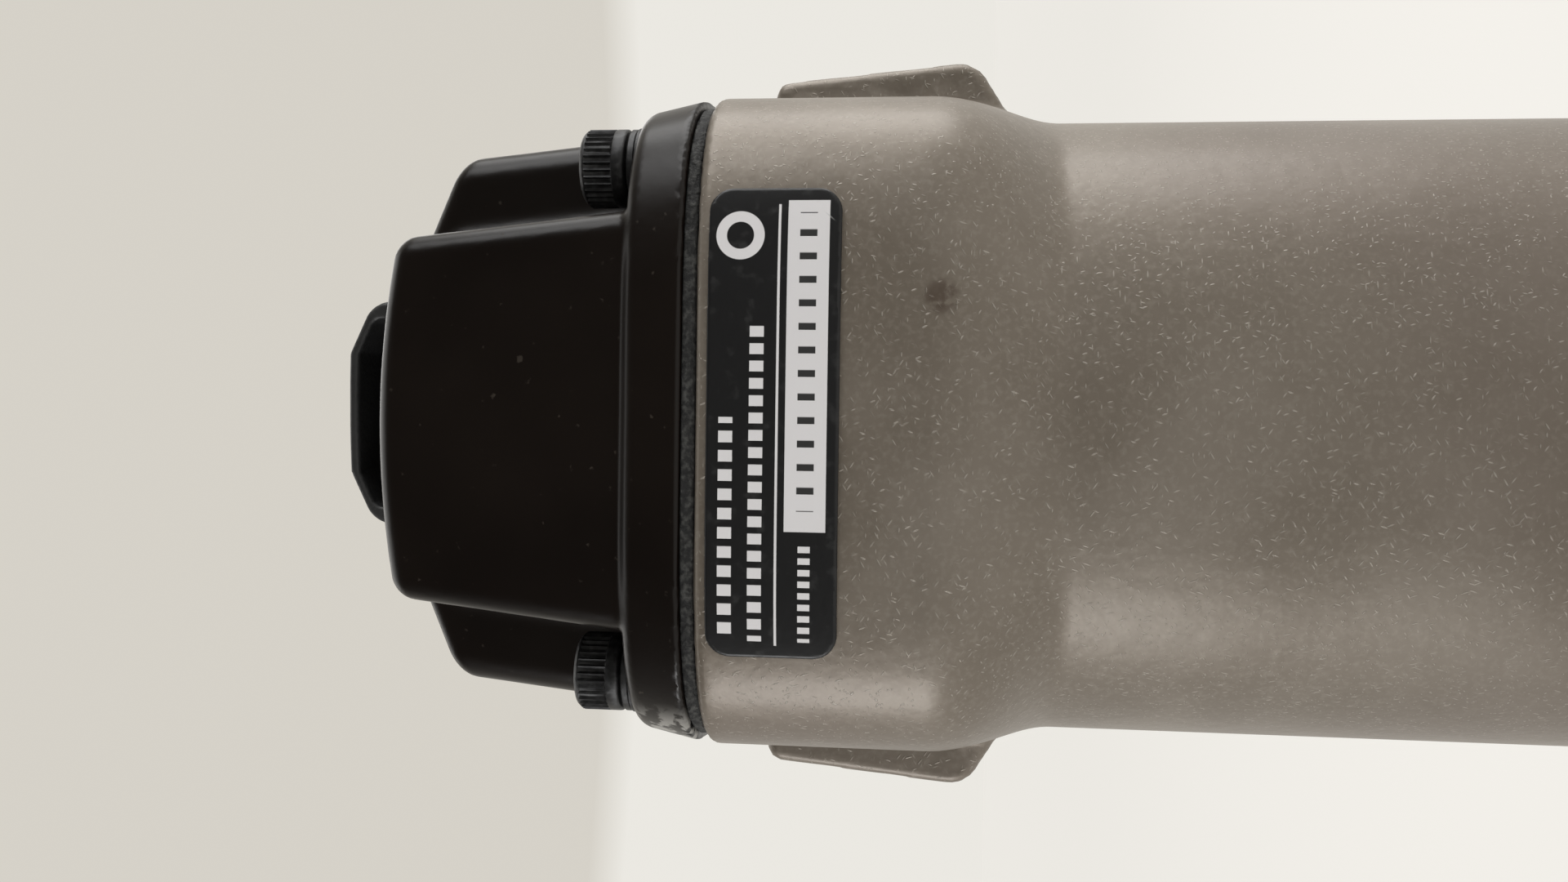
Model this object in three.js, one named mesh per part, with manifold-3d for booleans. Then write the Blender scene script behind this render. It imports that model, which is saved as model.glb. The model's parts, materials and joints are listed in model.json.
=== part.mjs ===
// A pneumatic straight finish nailer, in millimetres, +Z up along the drive axis.
// Inside the tool group the drive axis is x = y = 0, the handle points to +Y and z = 0 is the work surface.
// The exported group moves the tool so that the middle of its box stands over the origin.
import * as THREE from "three";
import { mergeVertices } from "three/addons/utils/BufferGeometryUtils.js";
import Module from "manifold-3d";

// ---------- driving dimensions ----------
const gap = 0.3; // clearance between pieces that touch or run on each other

// heights on the drive axis
const barrelBottom = 118;
const barrelLength = 88.5;
const shoulderHeight = 14.5;
const headHeight = 23;
const headEdge = 0.9;
const floorThickness = 6;

// plan of the head, the barrel and the cap flange: half sizes, steps between them and squareness
const headHalfX = 36.3;
const headHalfY = 36;
const headSquareness = 4.2;
const barrelStepX = 1.1;
const barrelStepY = 1.5;
const barrelSquareness = 2.2;
const barrelFootEdge = 2.5;
const flangeInset = 1.4;

// cap
const gasketThickness = 1.5;
const flangeThickness = 6.4;
const lobeGap = 2.5;
const lobeHalfY = 33;
const lobeHeight = 26;
const wingInset = 3.4;
const wingGap = 2.1;
const wingHeight = 24;
const domeSquareness = 3.6;
const domeTaper = 0.88;

// cap screws
const capScrewInsetX = 7.3;
const capScrewInsetY = 12.6;
const capHeadRadius = 4.25;
const capHeadLength = 5;
const capShankRadius = 2.5;
const capSocketRadius = 2.3;
const capWasherRim = 0.15;
const capWasherThickness = 1.2;
const capScrewReach = 14;
const washerSlit = 1;

// exhaust deflector
const deflectorHalfX = 12.4;
const deflectorFront = 14.5;
const deflectorHeight = 11;
const deflectorSideWall = 2;
const deflectorTopWall = 1.2;
const deflectorShoulder = 4.5;
const deflectorBossRadius = 4;
const deflectorScrewRadius = 2;
const deflectorHeadRadius = 3.4;
const deflectorHeadSink = 3.5;
const deflectorHeadLength = 2.6;
const deflectorScrewReach = 9;
const portRadius = 2.6;
const portCount = 4;

// side pads
const padStandOut = 5;
const padTopDrop = 5;
const padHeight = 24;
const padHalfY = 13;
const padFoot = 6;

// rating label
const labelLength = 46.6;
const labelHeight = 13.2;
const labelThickness = 0.6;
const labelCorner = 2.5;
const labelDrop = 1.3;

// cylinder, piston and head valve
const chamberWall = 8.8;
const sleeveInset = 5.5;
const sleeveWall = 2.5;
const sleeveTopDrop = 8;
const bumperHeight = 12;
const bumperBore = 5.5;
const pistonHeight = 12;
const pistonTopDrop = 12;
const pistonLand = 3;
const pistonRingHeight = 3;
const pistonRingDepth = 1.6;
const pistonBossRadius = 9;
const sealRibDepth = 3.1;
const sealRibHeight = 8;
const sealRibLift = 46;
const bladeWidth = 3.2;
const bladeThickness = 1.4;
const bladeSeat = 7;
const bladeHoleHalf = 4;
const bladeTipAboveWork = 5;
const valveDiscInset = 3.5;
const valveDiscHeight = 4.4;
const valveHubInset = 6.5;
const valveHubHeight = 15;
const valveMouthRadius = 6;
const valveWall = 1.5;
const capPocketRoom = 1;
const capPocketDepth = 4.5;
const capBoreDepth = 20.5;
const headSpringInset = 3.7;
const headSpringWire = 0.9;

// handle
const handleLift = 58;
const handleHalfX = 17;
const handleHalfZ = 21;
const handleSquareness = 2.3;
const handleWall = 3.8;
const handleEndHalfX = 21;
const handleEndHalfZ = 26;
const handleEndSquareness = 2.6;
const handleEndLength = 22;
const gripOffset = 41.5;
const gripLength = 124;
const gripThickness = 2.4;
const gripEdge = 3;
const endGasketThickness = 1.2;
const endCapLength = 14;
const endCapChamfer = 3;
const endScrewX = 12;
const endScrewZ = 18.5;
const endScrewRadius = 2;
const endScrewHeadRadius = 3.5;
const endScrewHeadLength = 3.6;
const endScrewSink = 6;
const endScrewReach = 11;
const inletRadius = 6.5;
const inletBoreRadius = 2.6;
const inletHexRadius = 8.4;
const inletHexLength = 8;
const inletNippleRadius = 6;
const inletNeckRadius = 4.4;
const inletTipRadius = 3.9;
const inletNippleLength = 19;

// trigger group
const triggerOffsetY = 3.5;
const triggerDrop = 29;
const triggerPinRadius = 1.5;
const triggerKnuckleRadius = 3.5;
const triggerHalfX = 8;
const triggerWall = 1.5;
const triggerLength = 26;
const triggerPadDrop = 8;
const triggerPadThickness = 4;
const triggerPadStart = 2.5;
const triggerSpringRadius = 2.6;
const triggerSpringWire = 0.35;
const earThickness = 3;
const rockerOffsetY = 19;
const rockerDrop = 10;
const rockerPinRadius = 1.2;
const rockerWall = 1.6;
const rockerThickness = 2.5;
const rockerReach = 20.5;
const stemOffsetY = 13;
const stemRadius = 2;
const stemLift = 3.5;
const stemTailLength = 3;
const valveBodyRadius = 9;
const valveBodyDrop = 24;
const valveBodyHeight = 16;
const valveCapHeight = 3;
const stemCollarRadius = 4.4;
const stemCollarLift = 6;
const stemCollarHeight = 2;
const valveSpringRadius = 3.5;
const valveSpringWire = 0.4;

// nose
const noseBottom = 9.3;
const noseHalfX = 11;
const noseBack = 8;
const noseFront = 8;
const noseColumnDrop = 19.7;
const noseFlangeThickness = 6;
const noseFlangeInsetX = 9.2;
const noseFlangeInsetY = 11.5;
const noseScrewInsetX = 9;
const noseScrewInsetY = 7;
const channelHalfX = 2;
const channelFront = 2;
const channelBack = 1.2;
const feedHalfX = 1.6;
const doorRadius = 3.2;
const doorHalfX = 7.7;
const doorPivotLift = 14.7;
const doorPinRadius = 1.5;
const latchPivotDrop = 10.3;
const latchLength = 32;
const latchHalfX = 4.5;
const latchPinRadius = 1.2;
const latchLugHalf = 3.5;

// contact trip
const tripOffsetX = 10.5;
const tripRadius = 2.2;
const tripTurnLift = 7;
const tripBackOffset = 1;
const tripTopDrop = 3.5;
const tripGuideZ = 60;
const tripGuideHeight = 6;
const tripGuideHalfY = 4;
const tripGuideWall = 3;
const tripCollarZ = 44;
const tripCollarHeight = 3;
const tripBottomZ = 19;
const tripSpringWire = 0.4;
const footHeight = 11;
const footWall = 3;
const footBackY = 3;
const footFrontY = 6;
const footRise = 36;
const footLug = 5;
const padThickness = 3;
const wheelRadius = 6.5;
const wheelHeight = 6;
const wheelZ = 26;
const wheelTeeth = 12;
const wheelToothDepth = 0.8;

// magazine
const magazineTail = 9.3;
const magazineLift = 4.7;
const magazineDrop = 8.3;
const coreLeft = 8;
const coreRight = 5;
const coreWall = 3;
const coreWeb = 4;
const coreEndBlock = 26;
const coverThickness = 2.4;
const coverLip = 7;
const coverShort = 12;
const pusherLength = 18;
const pusherHeight = 60;
const pusherRest = 14;
const coilRadius = 5.2;
const coilBore = 2;
const coilPocketRoom = 0.4;
const coilLift = 14;
const tabSlotHeight = 7;
const tabThickness = 5;
const tabReach = 7;
const bracketThickness = 3.2;
const bracketWidth = 16;
const bracketFoot = 7;
const bracketBoltRadius = 2.5;
const bracketBoltReach = 5.5;
const bracketBoltDrop = 14;
const rearPadHeight = 3;
const coverLatchDrop = 14;
const coverLatchRadius = 2.6;
const coverLatchLength = 22;
const coverLatchGrip = 5;
const coverLatchEar = 3;
const coverLatchEarHalf = 4;

// ---------- values worked out from the driving dimensions ----------
const barrelTop = barrelBottom + barrelLength;
const headBottom = barrelTop + shoulderHeight;
const housingTop = headBottom + headHeight;
const barrelHalfX = headHalfX - barrelStepX;
const barrelHalfY = headHalfY - barrelStepY;
const flangeBottom = housingTop + gasketThickness;
const flangeTop = flangeBottom + flangeThickness;
const domeTop = flangeTop + lobeHeight;
const capScrewX = headHalfX - flangeInset - capScrewInsetX;
const capScrewY = headHalfY - flangeInset - capScrewInsetY;
const capWasherRadius = capHeadRadius + capWasherRim;
const lobeHalfX = capScrewX - capWasherRadius - lobeGap;
const wingHalfX = headHalfX - flangeInset - wingInset;
const wingHalfY = capScrewY - capWasherRadius - wingGap;
const portCircle = deflectorHalfX - deflectorSideWall - portRadius;
const padReach = headHalfX + padStandOut;
const chamberFloor = barrelBottom + floorThickness;
const chamberRadius = headHalfX - chamberWall;
const sealRibRadius = chamberRadius - sealRibDepth;
const sealRibZ = barrelBottom + sealRibLift;
const sleeveRadius = chamberRadius - sleeveInset;
const boreRadius = sleeveRadius - sleeveWall;
const sleeveTop = housingTop - sleeveTopDrop;
const bumperTop = chamberFloor + bumperHeight;
const pistonTop = housingTop - pistonTopDrop;
const pistonBottom = pistonTop - pistonHeight;
const pistonStroke = pistonBottom - bumperTop - gap;
const bladeTip = bladeTipAboveWork + pistonStroke;
const valveDiscRadius = chamberRadius - valveDiscInset;
const valveHubRadius = valveDiscRadius - valveHubInset;
const valveDiscBottom = sleeveTop + gap;
const valveDiscTop = valveDiscBottom + valveDiscHeight;
const capPocketRadius = valveDiscRadius + capPocketRoom;
const capCeiling = flangeBottom + capBoreDepth;
const valveSpringBottom = valveDiscBottom + valveWall + gap;
const handleZ = barrelBottom + handleLift;
const gripStart = barrelHalfY + gripOffset;
const gripEnd = gripStart + gripLength;
const handleEnd = gripEnd + handleEndLength;
const handleBottom = handleZ - handleEndHalfZ;
const endCapStart = handleEnd + 2 * gap + endGasketThickness;
const endCapEnd = endCapStart + endCapLength;
const inletEnd = endCapEnd + gap + inletHexLength + inletNippleLength;
const triggerPivotY = barrelHalfY + triggerOffsetY;
const triggerPivotZ = handleZ - triggerDrop;
const earInner = triggerHalfX + gap;
const earOuter = earInner + earThickness;
const rockerY = triggerPivotY + rockerOffsetY;
const rockerZ = triggerPivotZ - rockerDrop;
const stemY = triggerPivotY + stemOffsetY;
const stemBottom = rockerZ + stemLift;
const valveBodyBottom = handleZ - valveBodyDrop;
const valveBodyTop = valveBodyBottom + valveBodyHeight;
const stemCollarZ = valveBodyBottom + stemCollarLift;
const nosePlateTop = barrelBottom - gap;
const nosePlateBottom = nosePlateTop - noseFlangeThickness;
const noseColumnBottom = barrelBottom - noseColumnDrop;
const noseFlangeHalfX = barrelHalfX - noseFlangeInsetX;
const noseFlangeHalfY = barrelHalfY - noseFlangeInsetY;
const noseScrewX = noseFlangeHalfX - noseScrewInsetX;
const noseScrewY = noseFlangeHalfY - noseScrewInsetY;
const doorBack = channelFront + gap;
const doorPivotY = -(doorBack + doorRadius);
const doorPivotZ = noseBottom + doorPivotLift;
const doorFront = doorBack + 2 * doorRadius;
const latchPivotY = -(doorFront + doorRadius - 0.7);
const latchPivotZ = noseColumnBottom - latchPivotDrop;
const magazineBottom = noseBottom + magazineLift;
const magazineTop = noseColumnBottom - magazineDrop;
const magazineMiddle = (magazineBottom + magazineTop) / 2;
const magazineStart = noseBack + gap;
const magazineLength = handleEnd + magazineTail - magazineStart;
const pusherStart = pusherRest - magazineStart;
const coverInner = coreRight + gap;
const coverOuter = coverInner + coverThickness;
const coverLatchZ = magazineTop - coverLatchDrop;
const coreBoltZ = magazineTop - bracketBoltDrop;
const bracketBoltY = handleEnd - bracketWidth / 2 - 2;
const tripX = noseHalfX + tripOffsetX;
const tripTurnZ = magazineTop + tripTurnLift;
const tripBackY = triggerPivotY - tripBackOffset;
const tripTopZ = rockerZ - tripTopDrop;
const footInner = noseHalfX + gap + 0.1;
const footOuter = footInner + footWall;
const footFront = noseFront + gap + 0.1;
const labelReach = headHalfY + gap + labelThickness;
const frameCentreY = (inletEnd - labelReach) / 2;

// ---------- materials ----------
function material(color, roughness, metalness) {
  return new THREE.MeshStandardMaterial({ color, roughness, metalness });
}
const taupePaint = material(0x776d62, 0.45, 0.35);
const blackCoat = material(0x1a1715, 0.4, 0.2);
const blackPlastic = material(0x151515, 0.6, 0);
const softRubber = material(0x111111, 0.9, 0);
const gasketFoam = material(0x222220, 0.95, 0);
const blackOxide = material(0x242424, 0.35, 0.8);
const bareSteel = material(0x8c8f93, 0.3, 1);
const bareAluminium = material(0xaeb0b2, 0.4, 0.9);
const amberUrethane = material(0xb08a3a, 0.5, 0);
const labelFilm = material(0x0d0d0e, 0.3, 0);

// ---------- solids: three.js shapes, joined and cut ----------
const wasm = await Module();
wasm.setup();

function solidOf(geometry) {
  const bare = geometry.clone();
  bare.deleteAttribute("normal");
  bare.deleteAttribute("uv");
  const merged = mergeVertices(bare, 1e-4);
  return new wasm.Manifold(
    new wasm.Mesh({
      numProp: 3,
      vertProperties: new Float32Array(merged.attributes.position.array),
      triVerts: new Uint32Array(merged.index.array),
    }),
  );
}

function geometryOf(solid) {
  const mesh = solid.getMesh();
  const geometry = new THREE.BufferGeometry();
  geometry.setAttribute("position", new THREE.BufferAttribute(new Float32Array(mesh.vertProperties), 3));
  geometry.setIndex(new THREE.BufferAttribute(new Uint32Array(mesh.triVerts), 1));
  geometry.computeVertexNormals();
  return geometry;
}

function join(...pieces) {
  return geometryOf(pieces.map(solidOf).reduce((whole, piece) => whole.add(piece)));
}

function cut(body, ...tools) {
  return geometryOf(tools.map(solidOf).reduce((whole, tool) => whole.subtract(tool), solidOf(body)));
}

function common(a, b) {
  return geometryOf(solidOf(a).intersect(solidOf(b)));
}

function block(x0, x1, y0, y1, z0, z1) {
  const geometry = new THREE.BoxGeometry(x1 - x0, y1 - y0, z1 - z0);
  return geometry.translate((x0 + x1) / 2, (y0 + y1) / 2, (z0 + z1) / 2);
}

function rodZ(radius, z0, z1, x = 0, y = 0, sides = 16) {
  const geometry = new THREE.CylinderGeometry(radius, radius, z1 - z0, sides);
  return geometry.rotateX(Math.PI / 2).translate(x, y, (z0 + z1) / 2);
}

function rodX(radius, x0, x1, y, z, sides = 14) {
  const geometry = new THREE.CylinderGeometry(radius, radius, x1 - x0, sides);
  return geometry.rotateZ(-Math.PI / 2).translate((x0 + x1) / 2, y, z);
}

function rodY(radius, y0, y1, x, z, sides = 16) {
  const geometry = new THREE.CylinderGeometry(radius, radius, y1 - y0, sides);
  return geometry.translate(x, (y0 + y1) / 2, z);
}

// A turned piece about Z, from [radius, z] points that start and end on the axis or close on themselves.
function turned(points, sides = 28) {
  const profile = points.map(([radius, z]) => new THREE.Vector2(radius, z));
  return new THREE.LatheGeometry(profile, sides).rotateX(Math.PI / 2);
}

function tubeZ(outer, inner, z0, z1, sides = 28) {
  return turned(
    [
      [inner, z0],
      [outer, z0],
      [outer, z1],
      [inner, z1],
      [inner, z0],
    ],
    sides,
  );
}

// A point of a rounded square outline; squareness 2 is an ellipse.
function roundSquare(angle, halfA, halfB, squareness) {
  const c = Math.cos(angle);
  const s = Math.sin(angle);
  const a = Math.sign(c) * Math.abs(c) ** (2 / squareness) * halfA;
  const b = Math.sign(s) * Math.abs(s) ** (2 / squareness) * halfB;
  return new THREE.Vector2(a, b);
}

function roundSquareShape(halfA, halfB, squareness, sides = 44) {
  const points = [];
  for (let i = 0; i < sides; i++) {
    const angle = (2 * Math.PI * (i + 0.5)) / sides;
    points.push(roundSquare(angle, halfA, halfB, squareness));
  }
  return new THREE.Shape(points);
}

function plate(shape, z0, z1) {
  const slab = new THREE.ExtrudeGeometry(shape, { depth: z1 - z0, bevelEnabled: false, curveSegments: 6 });
  return slab.translate(0, 0, z0);
}

// A closed loft along Z: each section is {z, a, b, n, x, y}, lowest first.
// A cylinder's rings take the sections' outlines.
function loftZ(sections, sides = 48) {
  const last = sections.length - 1;
  const geometry = new THREE.CylinderGeometry(1, 1, last, sides, last);
  const place = geometry.attributes.position;
  for (let i = 0; i < place.count; i++) {
    const section = sections[Math.round(place.getY(i) + last / 2)];
    const onRim = Math.hypot(place.getX(i), place.getZ(i)) > 0.5;
    const angle = Math.atan2(-place.getZ(i), place.getX(i)) + Math.PI / sides;
    const point = roundSquare(angle, section.a, section.b, section.n ?? 2);
    if (!onRim) point.set(0, 0);
    place.setXYZ(i, point.x + (section.x ?? 0), point.y + (section.y ?? 0), section.z);
  }
  return geometry;
}

// The same loft along +Y: a is half the width in X and b half the height in Z about the height x.
function loftY(sections, sides = 32) {
  const upright = sections.map((s) => ({ z: s.y, a: s.a, b: s.b, n: s.n, y: -s.z }));
  return loftZ(upright, sides).rotateX(-Math.PI / 2);
}

// A coil spring about Z with flat closed ends, as one wire.
function coilZ(radius, wire, z0, z1, turns) {
  const rise = z1 - z0 - 2 * wire;
  class Helix extends THREE.Curve {
    getPoint(t, target = new THREE.Vector3()) {
      const angle = 2 * Math.PI * turns * t;
      return target.set(radius * Math.cos(angle), radius * Math.sin(angle), z0 + wire + rise * t);
    }
  }
  const section = new THREE.Shape([
    new THREE.Vector2(wire, 0),
    new THREE.Vector2(0, wire),
    new THREE.Vector2(-wire, 0),
    new THREE.Vector2(0, -wire),
  ]);
  return new THREE.ExtrudeGeometry(section, {
    steps: Math.round(turns * 8),
    extrudePath: new Helix(),
  });
}

// A round bar along a bent route of points.
function bentBar(points, radius, steps) {
  const pieces = points.slice(1).map((end, i) => {
    const start = points[i];
    const length = start.distanceTo(end);
    const bar = new THREE.CylinderGeometry(radius, radius, length, steps);
    const turn = new THREE.Quaternion().setFromUnitVectors(
      new THREE.Vector3(0, 1, 0),
      end.clone().sub(start).normalize(),
    );
    const middle = start.clone().add(end).multiplyScalar(0.5);
    return bar.applyQuaternion(turn).translate(middle.x, middle.y, middle.z);
  });
  const elbows = points.slice(1, -1).map((corner) => {
    const ball = new THREE.SphereGeometry(radius, steps, steps / 2);
    return ball.translate(corner.x, corner.y, corner.z);
  });
  return join(...pieces, ...elbows);
}

// A side outline in Y and Z, given depth along X and centred on the middle plane.
function sideExtrude(outline, depth, curveSegments = 8) {
  const slab = new THREE.ExtrudeGeometry(outline, { depth, bevelEnabled: false, curveSegments });
  const turn = new THREE.Matrix4().makeBasis(
    new THREE.Vector3(0, 1, 0),
    new THREE.Vector3(0, 0, 1),
    new THREE.Vector3(1, 0, 0),
  );
  return slab.applyMatrix4(turn).translate(-depth / 2, 0, 0);
}

// A socket head screw's head: a knob with a hexagon recess in its top.
function socketHead(radius, length, socketRadius) {
  const head = rodZ(radius, 0, length, 0, 0, 18);
  const socket = rodZ(socketRadius, length * 0.45, length + 1, 0, 0, 6);
  return cut(head, socket);
}

// ---------- the assembly ----------
const tool = new THREE.Group();
tool.position.set(0, -frameCentreY, 0);

function group(x, y, z, parent = tool) {
  const made = new THREE.Group();
  made.position.set(x, y, z);
  parent.add(made);
  return made;
}

function add(parent, name, geometry, finish) {
  const mesh = new THREE.Mesh(geometry, finish);
  mesh.name = name;
  parent.add(mesh);
  return mesh;
}

// ---------- housing: head, barrel, side pads and hollow handle in one casting ----------
function barrelAndHead() {
  const ring = (z, inset) => ({ z, a: barrelHalfX - inset, b: barrelHalfY - inset, n: barrelSquareness });
  const shoulderStep = (share) => ({
    z: barrelTop + shoulderHeight * share,
    a: barrelHalfX + barrelStepX * (share * share * (3 - 2 * share)),
    b: barrelHalfY + barrelStepY * (share * share * (3 - 2 * share)),
    n: barrelSquareness + (headSquareness - barrelSquareness) * share,
  });
  return loftZ(
    [
      ring(barrelBottom, barrelFootEdge),
      ring(barrelBottom + 3, barrelFootEdge / 6),
      ring(barrelBottom + 8, 0),
      ...[0, 0.25, 0.5, 0.75, 1].map(shoulderStep),
      { z: housingTop - headEdge, a: headHalfX, b: headHalfY, n: headSquareness },
      { z: housingTop, a: headHalfX - headEdge, b: headHalfY - headEdge, n: headSquareness },
    ],
    44,
  );
}

function sidePad(side) {
  const top = housingTop - padTopDrop;
  const bottom = top - padHeight;
  const outline = new THREE.Shape();
  outline.moveTo(barrelHalfX - padFoot, top);
  outline.lineTo(padReach - 3, top);
  outline.lineTo(padReach - 1.7, top - 1.6);
  outline.lineTo(padReach, bottom + 5);
  outline.lineTo(padReach - 0.6, bottom + 2);
  outline.lineTo(padReach - 2, bottom);
  outline.lineTo(barrelHalfX - 2, bottom - padFoot);
  outline.lineTo(barrelHalfX - padFoot, bottom - padFoot);
  const slab = new THREE.ExtrudeGeometry(outline, { depth: 2 * padHalfY, bevelEnabled: false });
  slab.rotateX(Math.PI / 2).translate(0, padHalfY, 0);
  const rim = loftZ(
    [
      { z: bottom - padFoot - 2, a: padReach + 4, b: padHalfY * 0.8, n: 5 },
      { z: bottom + 3, a: padReach + 4, b: padHalfY, n: 5 },
      { z: top - 3, a: padReach + 4, b: padHalfY, n: 5 },
      { z: top + 2, a: padReach + 4, b: padHalfY * 0.8, n: 5 },
    ],
    32,
  );
  const pad = common(slab, rim);
  return side > 0 ? pad : pad.rotateZ(Math.PI);
}

function handleShell() {
  return loftY([
    { y: barrelHalfY - 18, z: handleZ, a: 24, b: 27, n: handleSquareness },
    { y: barrelHalfY, z: handleZ, a: 20, b: 24, n: handleSquareness },
    { y: barrelHalfY + 12, z: handleZ, a: handleHalfX, b: handleHalfZ, n: handleSquareness },
    { y: gripEnd + 2, z: handleZ, a: handleHalfX, b: handleHalfZ, n: handleSquareness },
    { y: gripEnd + 9, z: handleZ, a: handleEndHalfX, b: handleEndHalfZ, n: handleEndSquareness },
    { y: handleEnd, z: handleZ, a: handleEndHalfX, b: handleEndHalfZ, n: handleEndSquareness },
  ]);
}

function handleHollow() {
  const a = handleHalfX - handleWall;
  const b = handleHalfZ - handleWall;
  return loftY([
    { y: chamberRadius - 6, z: handleZ, a, b, n: handleSquareness },
    { y: handleEnd + 1, z: handleZ, a, b, n: handleSquareness },
  ]);
}

function triggerEars() {
  const rim = triggerPivotZ - triggerKnuckleRadius - earThickness / 2;
  const top = handleZ - handleHalfZ + 6;
  const both = [-1, 1].map((side) => {
    const inner = side > 0 ? earInner : -earOuter;
    return block(inner, inner + earThickness, triggerPivotY - 5, triggerPivotY + 7, rim, top);
  });
  return join(...both);
}

function screwSpots(x, y) {
  return [
    [x, -y],
    [-x, -y],
    [-x, y],
    [x, y],
  ];
}

function housing() {
  let body = join(barrelAndHead(), sidePad(1), sidePad(-1), handleShell(), triggerEars());
  const chamber = turned([
    [0, chamberFloor],
    [sealRibRadius, chamberFloor],
    [sealRibRadius, chamberFloor + sealRibHeight],
    [chamberRadius, chamberFloor + sealRibHeight + 3],
    [chamberRadius, sealRibZ - sealRibHeight],
    [sealRibRadius, sealRibZ - sealRibHeight / 2],
    [sealRibRadius, sealRibZ + sealRibHeight / 2],
    [chamberRadius, sealRibZ + sealRibHeight],
    [chamberRadius, housingTop + 1],
    [0, housingTop + 1],
  ]);
  const half = bladeHoleHalf;
  const bladeHole = block(-half, half, -half, half, barrelBottom - 1, chamberFloor + 1);
  const valveBore = rodZ(valveBodyRadius + gap, valveBodyBottom - 20, handleZ, 0, stemY, 28);
  const pinHole = rodX(triggerPinRadius + gap, -earOuter - 1, earOuter + 1, triggerPivotY, triggerPivotZ);
  const capHoles = screwSpots(capScrewX, capScrewY).map(([x, y]) =>
    rodZ(capShankRadius + gap, housingTop - capScrewReach, housingTop + 1, x, y, 12),
  );
  const noseHoles = screwSpots(noseScrewX, noseScrewY).map(([x, y]) =>
    rodZ(capShankRadius + gap, barrelBottom - 1, chamberFloor - 1, x, y, 12),
  );
  const endHoles = screwSpots(endScrewX, endScrewZ).map(([x, z]) =>
    rodY(endScrewRadius + gap, handleEnd - endScrewReach - 1, handleEnd + 1, x, handleZ + z, 12),
  );
  const boltTop = handleBottom + bracketBoltReach + 1;
  const bracketHole = rodZ(bracketBoltRadius + gap, handleBottom - 3, boltTop, 0, bracketBoltY, 14);
  const footing = block(-11, 11, bracketBoltY - bracketWidth / 2, handleEnd, handleBottom, handleBottom + 5);
  body = join(body, footing);
  body = cut(body, chamber, handleHollow(), bladeHole, valveBore, pinHole);
  return cut(body, ...capHoles, ...noseHoles, ...endHoles, bracketHole);
}

add(tool, "housing", housing(), taupePaint);

// ---------- rating label, bent round the head's front ----------
function ratingLabel() {
  const outset = gap + labelThickness;
  const inner = roundSquareShape(headHalfX + gap, headHalfY + gap, headSquareness);
  const outer = roundSquareShape(headHalfX + outset, headHalfY + outset, headSquareness);
  const top = housingTop - labelDrop;
  const bottom = top - labelHeight;
  const band = cut(plate(outer, bottom - 2, top + 2), plate(inner, bottom - 3, top + 3));
  const halfLength = labelLength / 2;
  const face = new THREE.Shape();
  face.moveTo(-halfLength + labelCorner, bottom);
  face.lineTo(halfLength - labelCorner, bottom);
  face.absarc(halfLength - labelCorner, bottom + labelCorner, labelCorner, -Math.PI / 2, 0, false);
  face.absarc(halfLength - labelCorner, top - labelCorner, labelCorner, 0, Math.PI / 2, false);
  face.absarc(-halfLength + labelCorner, top - labelCorner, labelCorner, Math.PI / 2, Math.PI, false);
  face.absarc(-halfLength + labelCorner, bottom + labelCorner, labelCorner, Math.PI, 1.5 * Math.PI, false);
  const depth = labelReach + 1;
  const window = new THREE.ExtrudeGeometry(face, { depth, bevelEnabled: false, curveSegments: 4 });
  window.rotateX(Math.PI / 2);
  return common(band, window);
}
add(tool, "rating_label", ratingLabel(), labelFilm);

// ---------- head gasket and cylinder cap ----------
const capGroup = group(0, 0, housingTop);

function flangeShape(inset) {
  return roundSquareShape(headHalfX - inset, headHalfY - inset, headSquareness);
}

function capScrewHoles(z0, z1) {
  return screwSpots(capScrewX, capScrewY).map(([x, y]) => rodZ(capShankRadius + gap, z0, z1, x, y, 12));
}

function headGasket() {
  const sheet = plate(flangeShape(flangeInset + 0.2), gap, gasketThickness - gap);
  const opening = rodZ(capPocketRadius + 0.5, -1, gasketThickness + 1, 0, 0, 32);
  return cut(sheet, opening, ...capScrewHoles(-1, gasketThickness + 1));
}
add(capGroup, "head_gasket", headGasket(), gasketFoam);

function dome(halfX, halfY, height) {
  const foot = gasketThickness + flangeThickness - 1;
  const ring = (share, scale) => ({
    z: foot + 1 + height * share,
    a: halfX * scale,
    b: halfY * scale,
    n: domeSquareness,
  });
  return loftZ(
    [
      { z: foot, a: halfX, b: halfY, n: domeSquareness },
      ring(0.05, 1),
      ring(0.72, domeTaper + 0.03),
      ring(0.88, domeTaper - 0.01),
      ring(0.96, domeTaper - 0.08),
      ring(1, domeTaper - 0.17),
    ],
    32,
  );
}

function cylinderCap() {
  const flange = plate(flangeShape(flangeInset), gasketThickness, gasketThickness + flangeThickness);
  const lobe = dome(lobeHalfX, lobeHalfY, lobeHeight);
  const wings = dome(wingHalfX, wingHalfY, wingHeight);
  const solid = join(flange, lobe, wings);
  const pocket = turned([
    [0, gasketThickness - 1],
    [capPocketRadius, gasketThickness - 1],
    [capPocketRadius, gasketThickness + capPocketDepth],
    [valveHubRadius + gap, gasketThickness + capPocketDepth],
    [valveHubRadius + gap, gasketThickness + capBoreDepth],
    [0, gasketThickness + capBoreDepth],
  ]);
  const top = gasketThickness + flangeThickness + lobeHeight;
  const ports = [];
  for (let i = 0; i < portCount; i++) {
    const angle = (2 * Math.PI * (i + 0.5)) / portCount;
    const x = portCircle * Math.cos(angle);
    const y = portCircle * Math.sin(angle);
    ports.push(rodZ(portRadius, gasketThickness + capBoreDepth - 5, top + 1, x, y, 14));
  }
  const screwHole = rodZ(deflectorScrewRadius + gap, top - deflectorScrewReach - 1, top + 1, 0, 0, 14);
  return cut(solid, pocket, screwHole, ...ports, ...capScrewHoles(0, gasketThickness + flangeThickness + 1));
}
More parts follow.
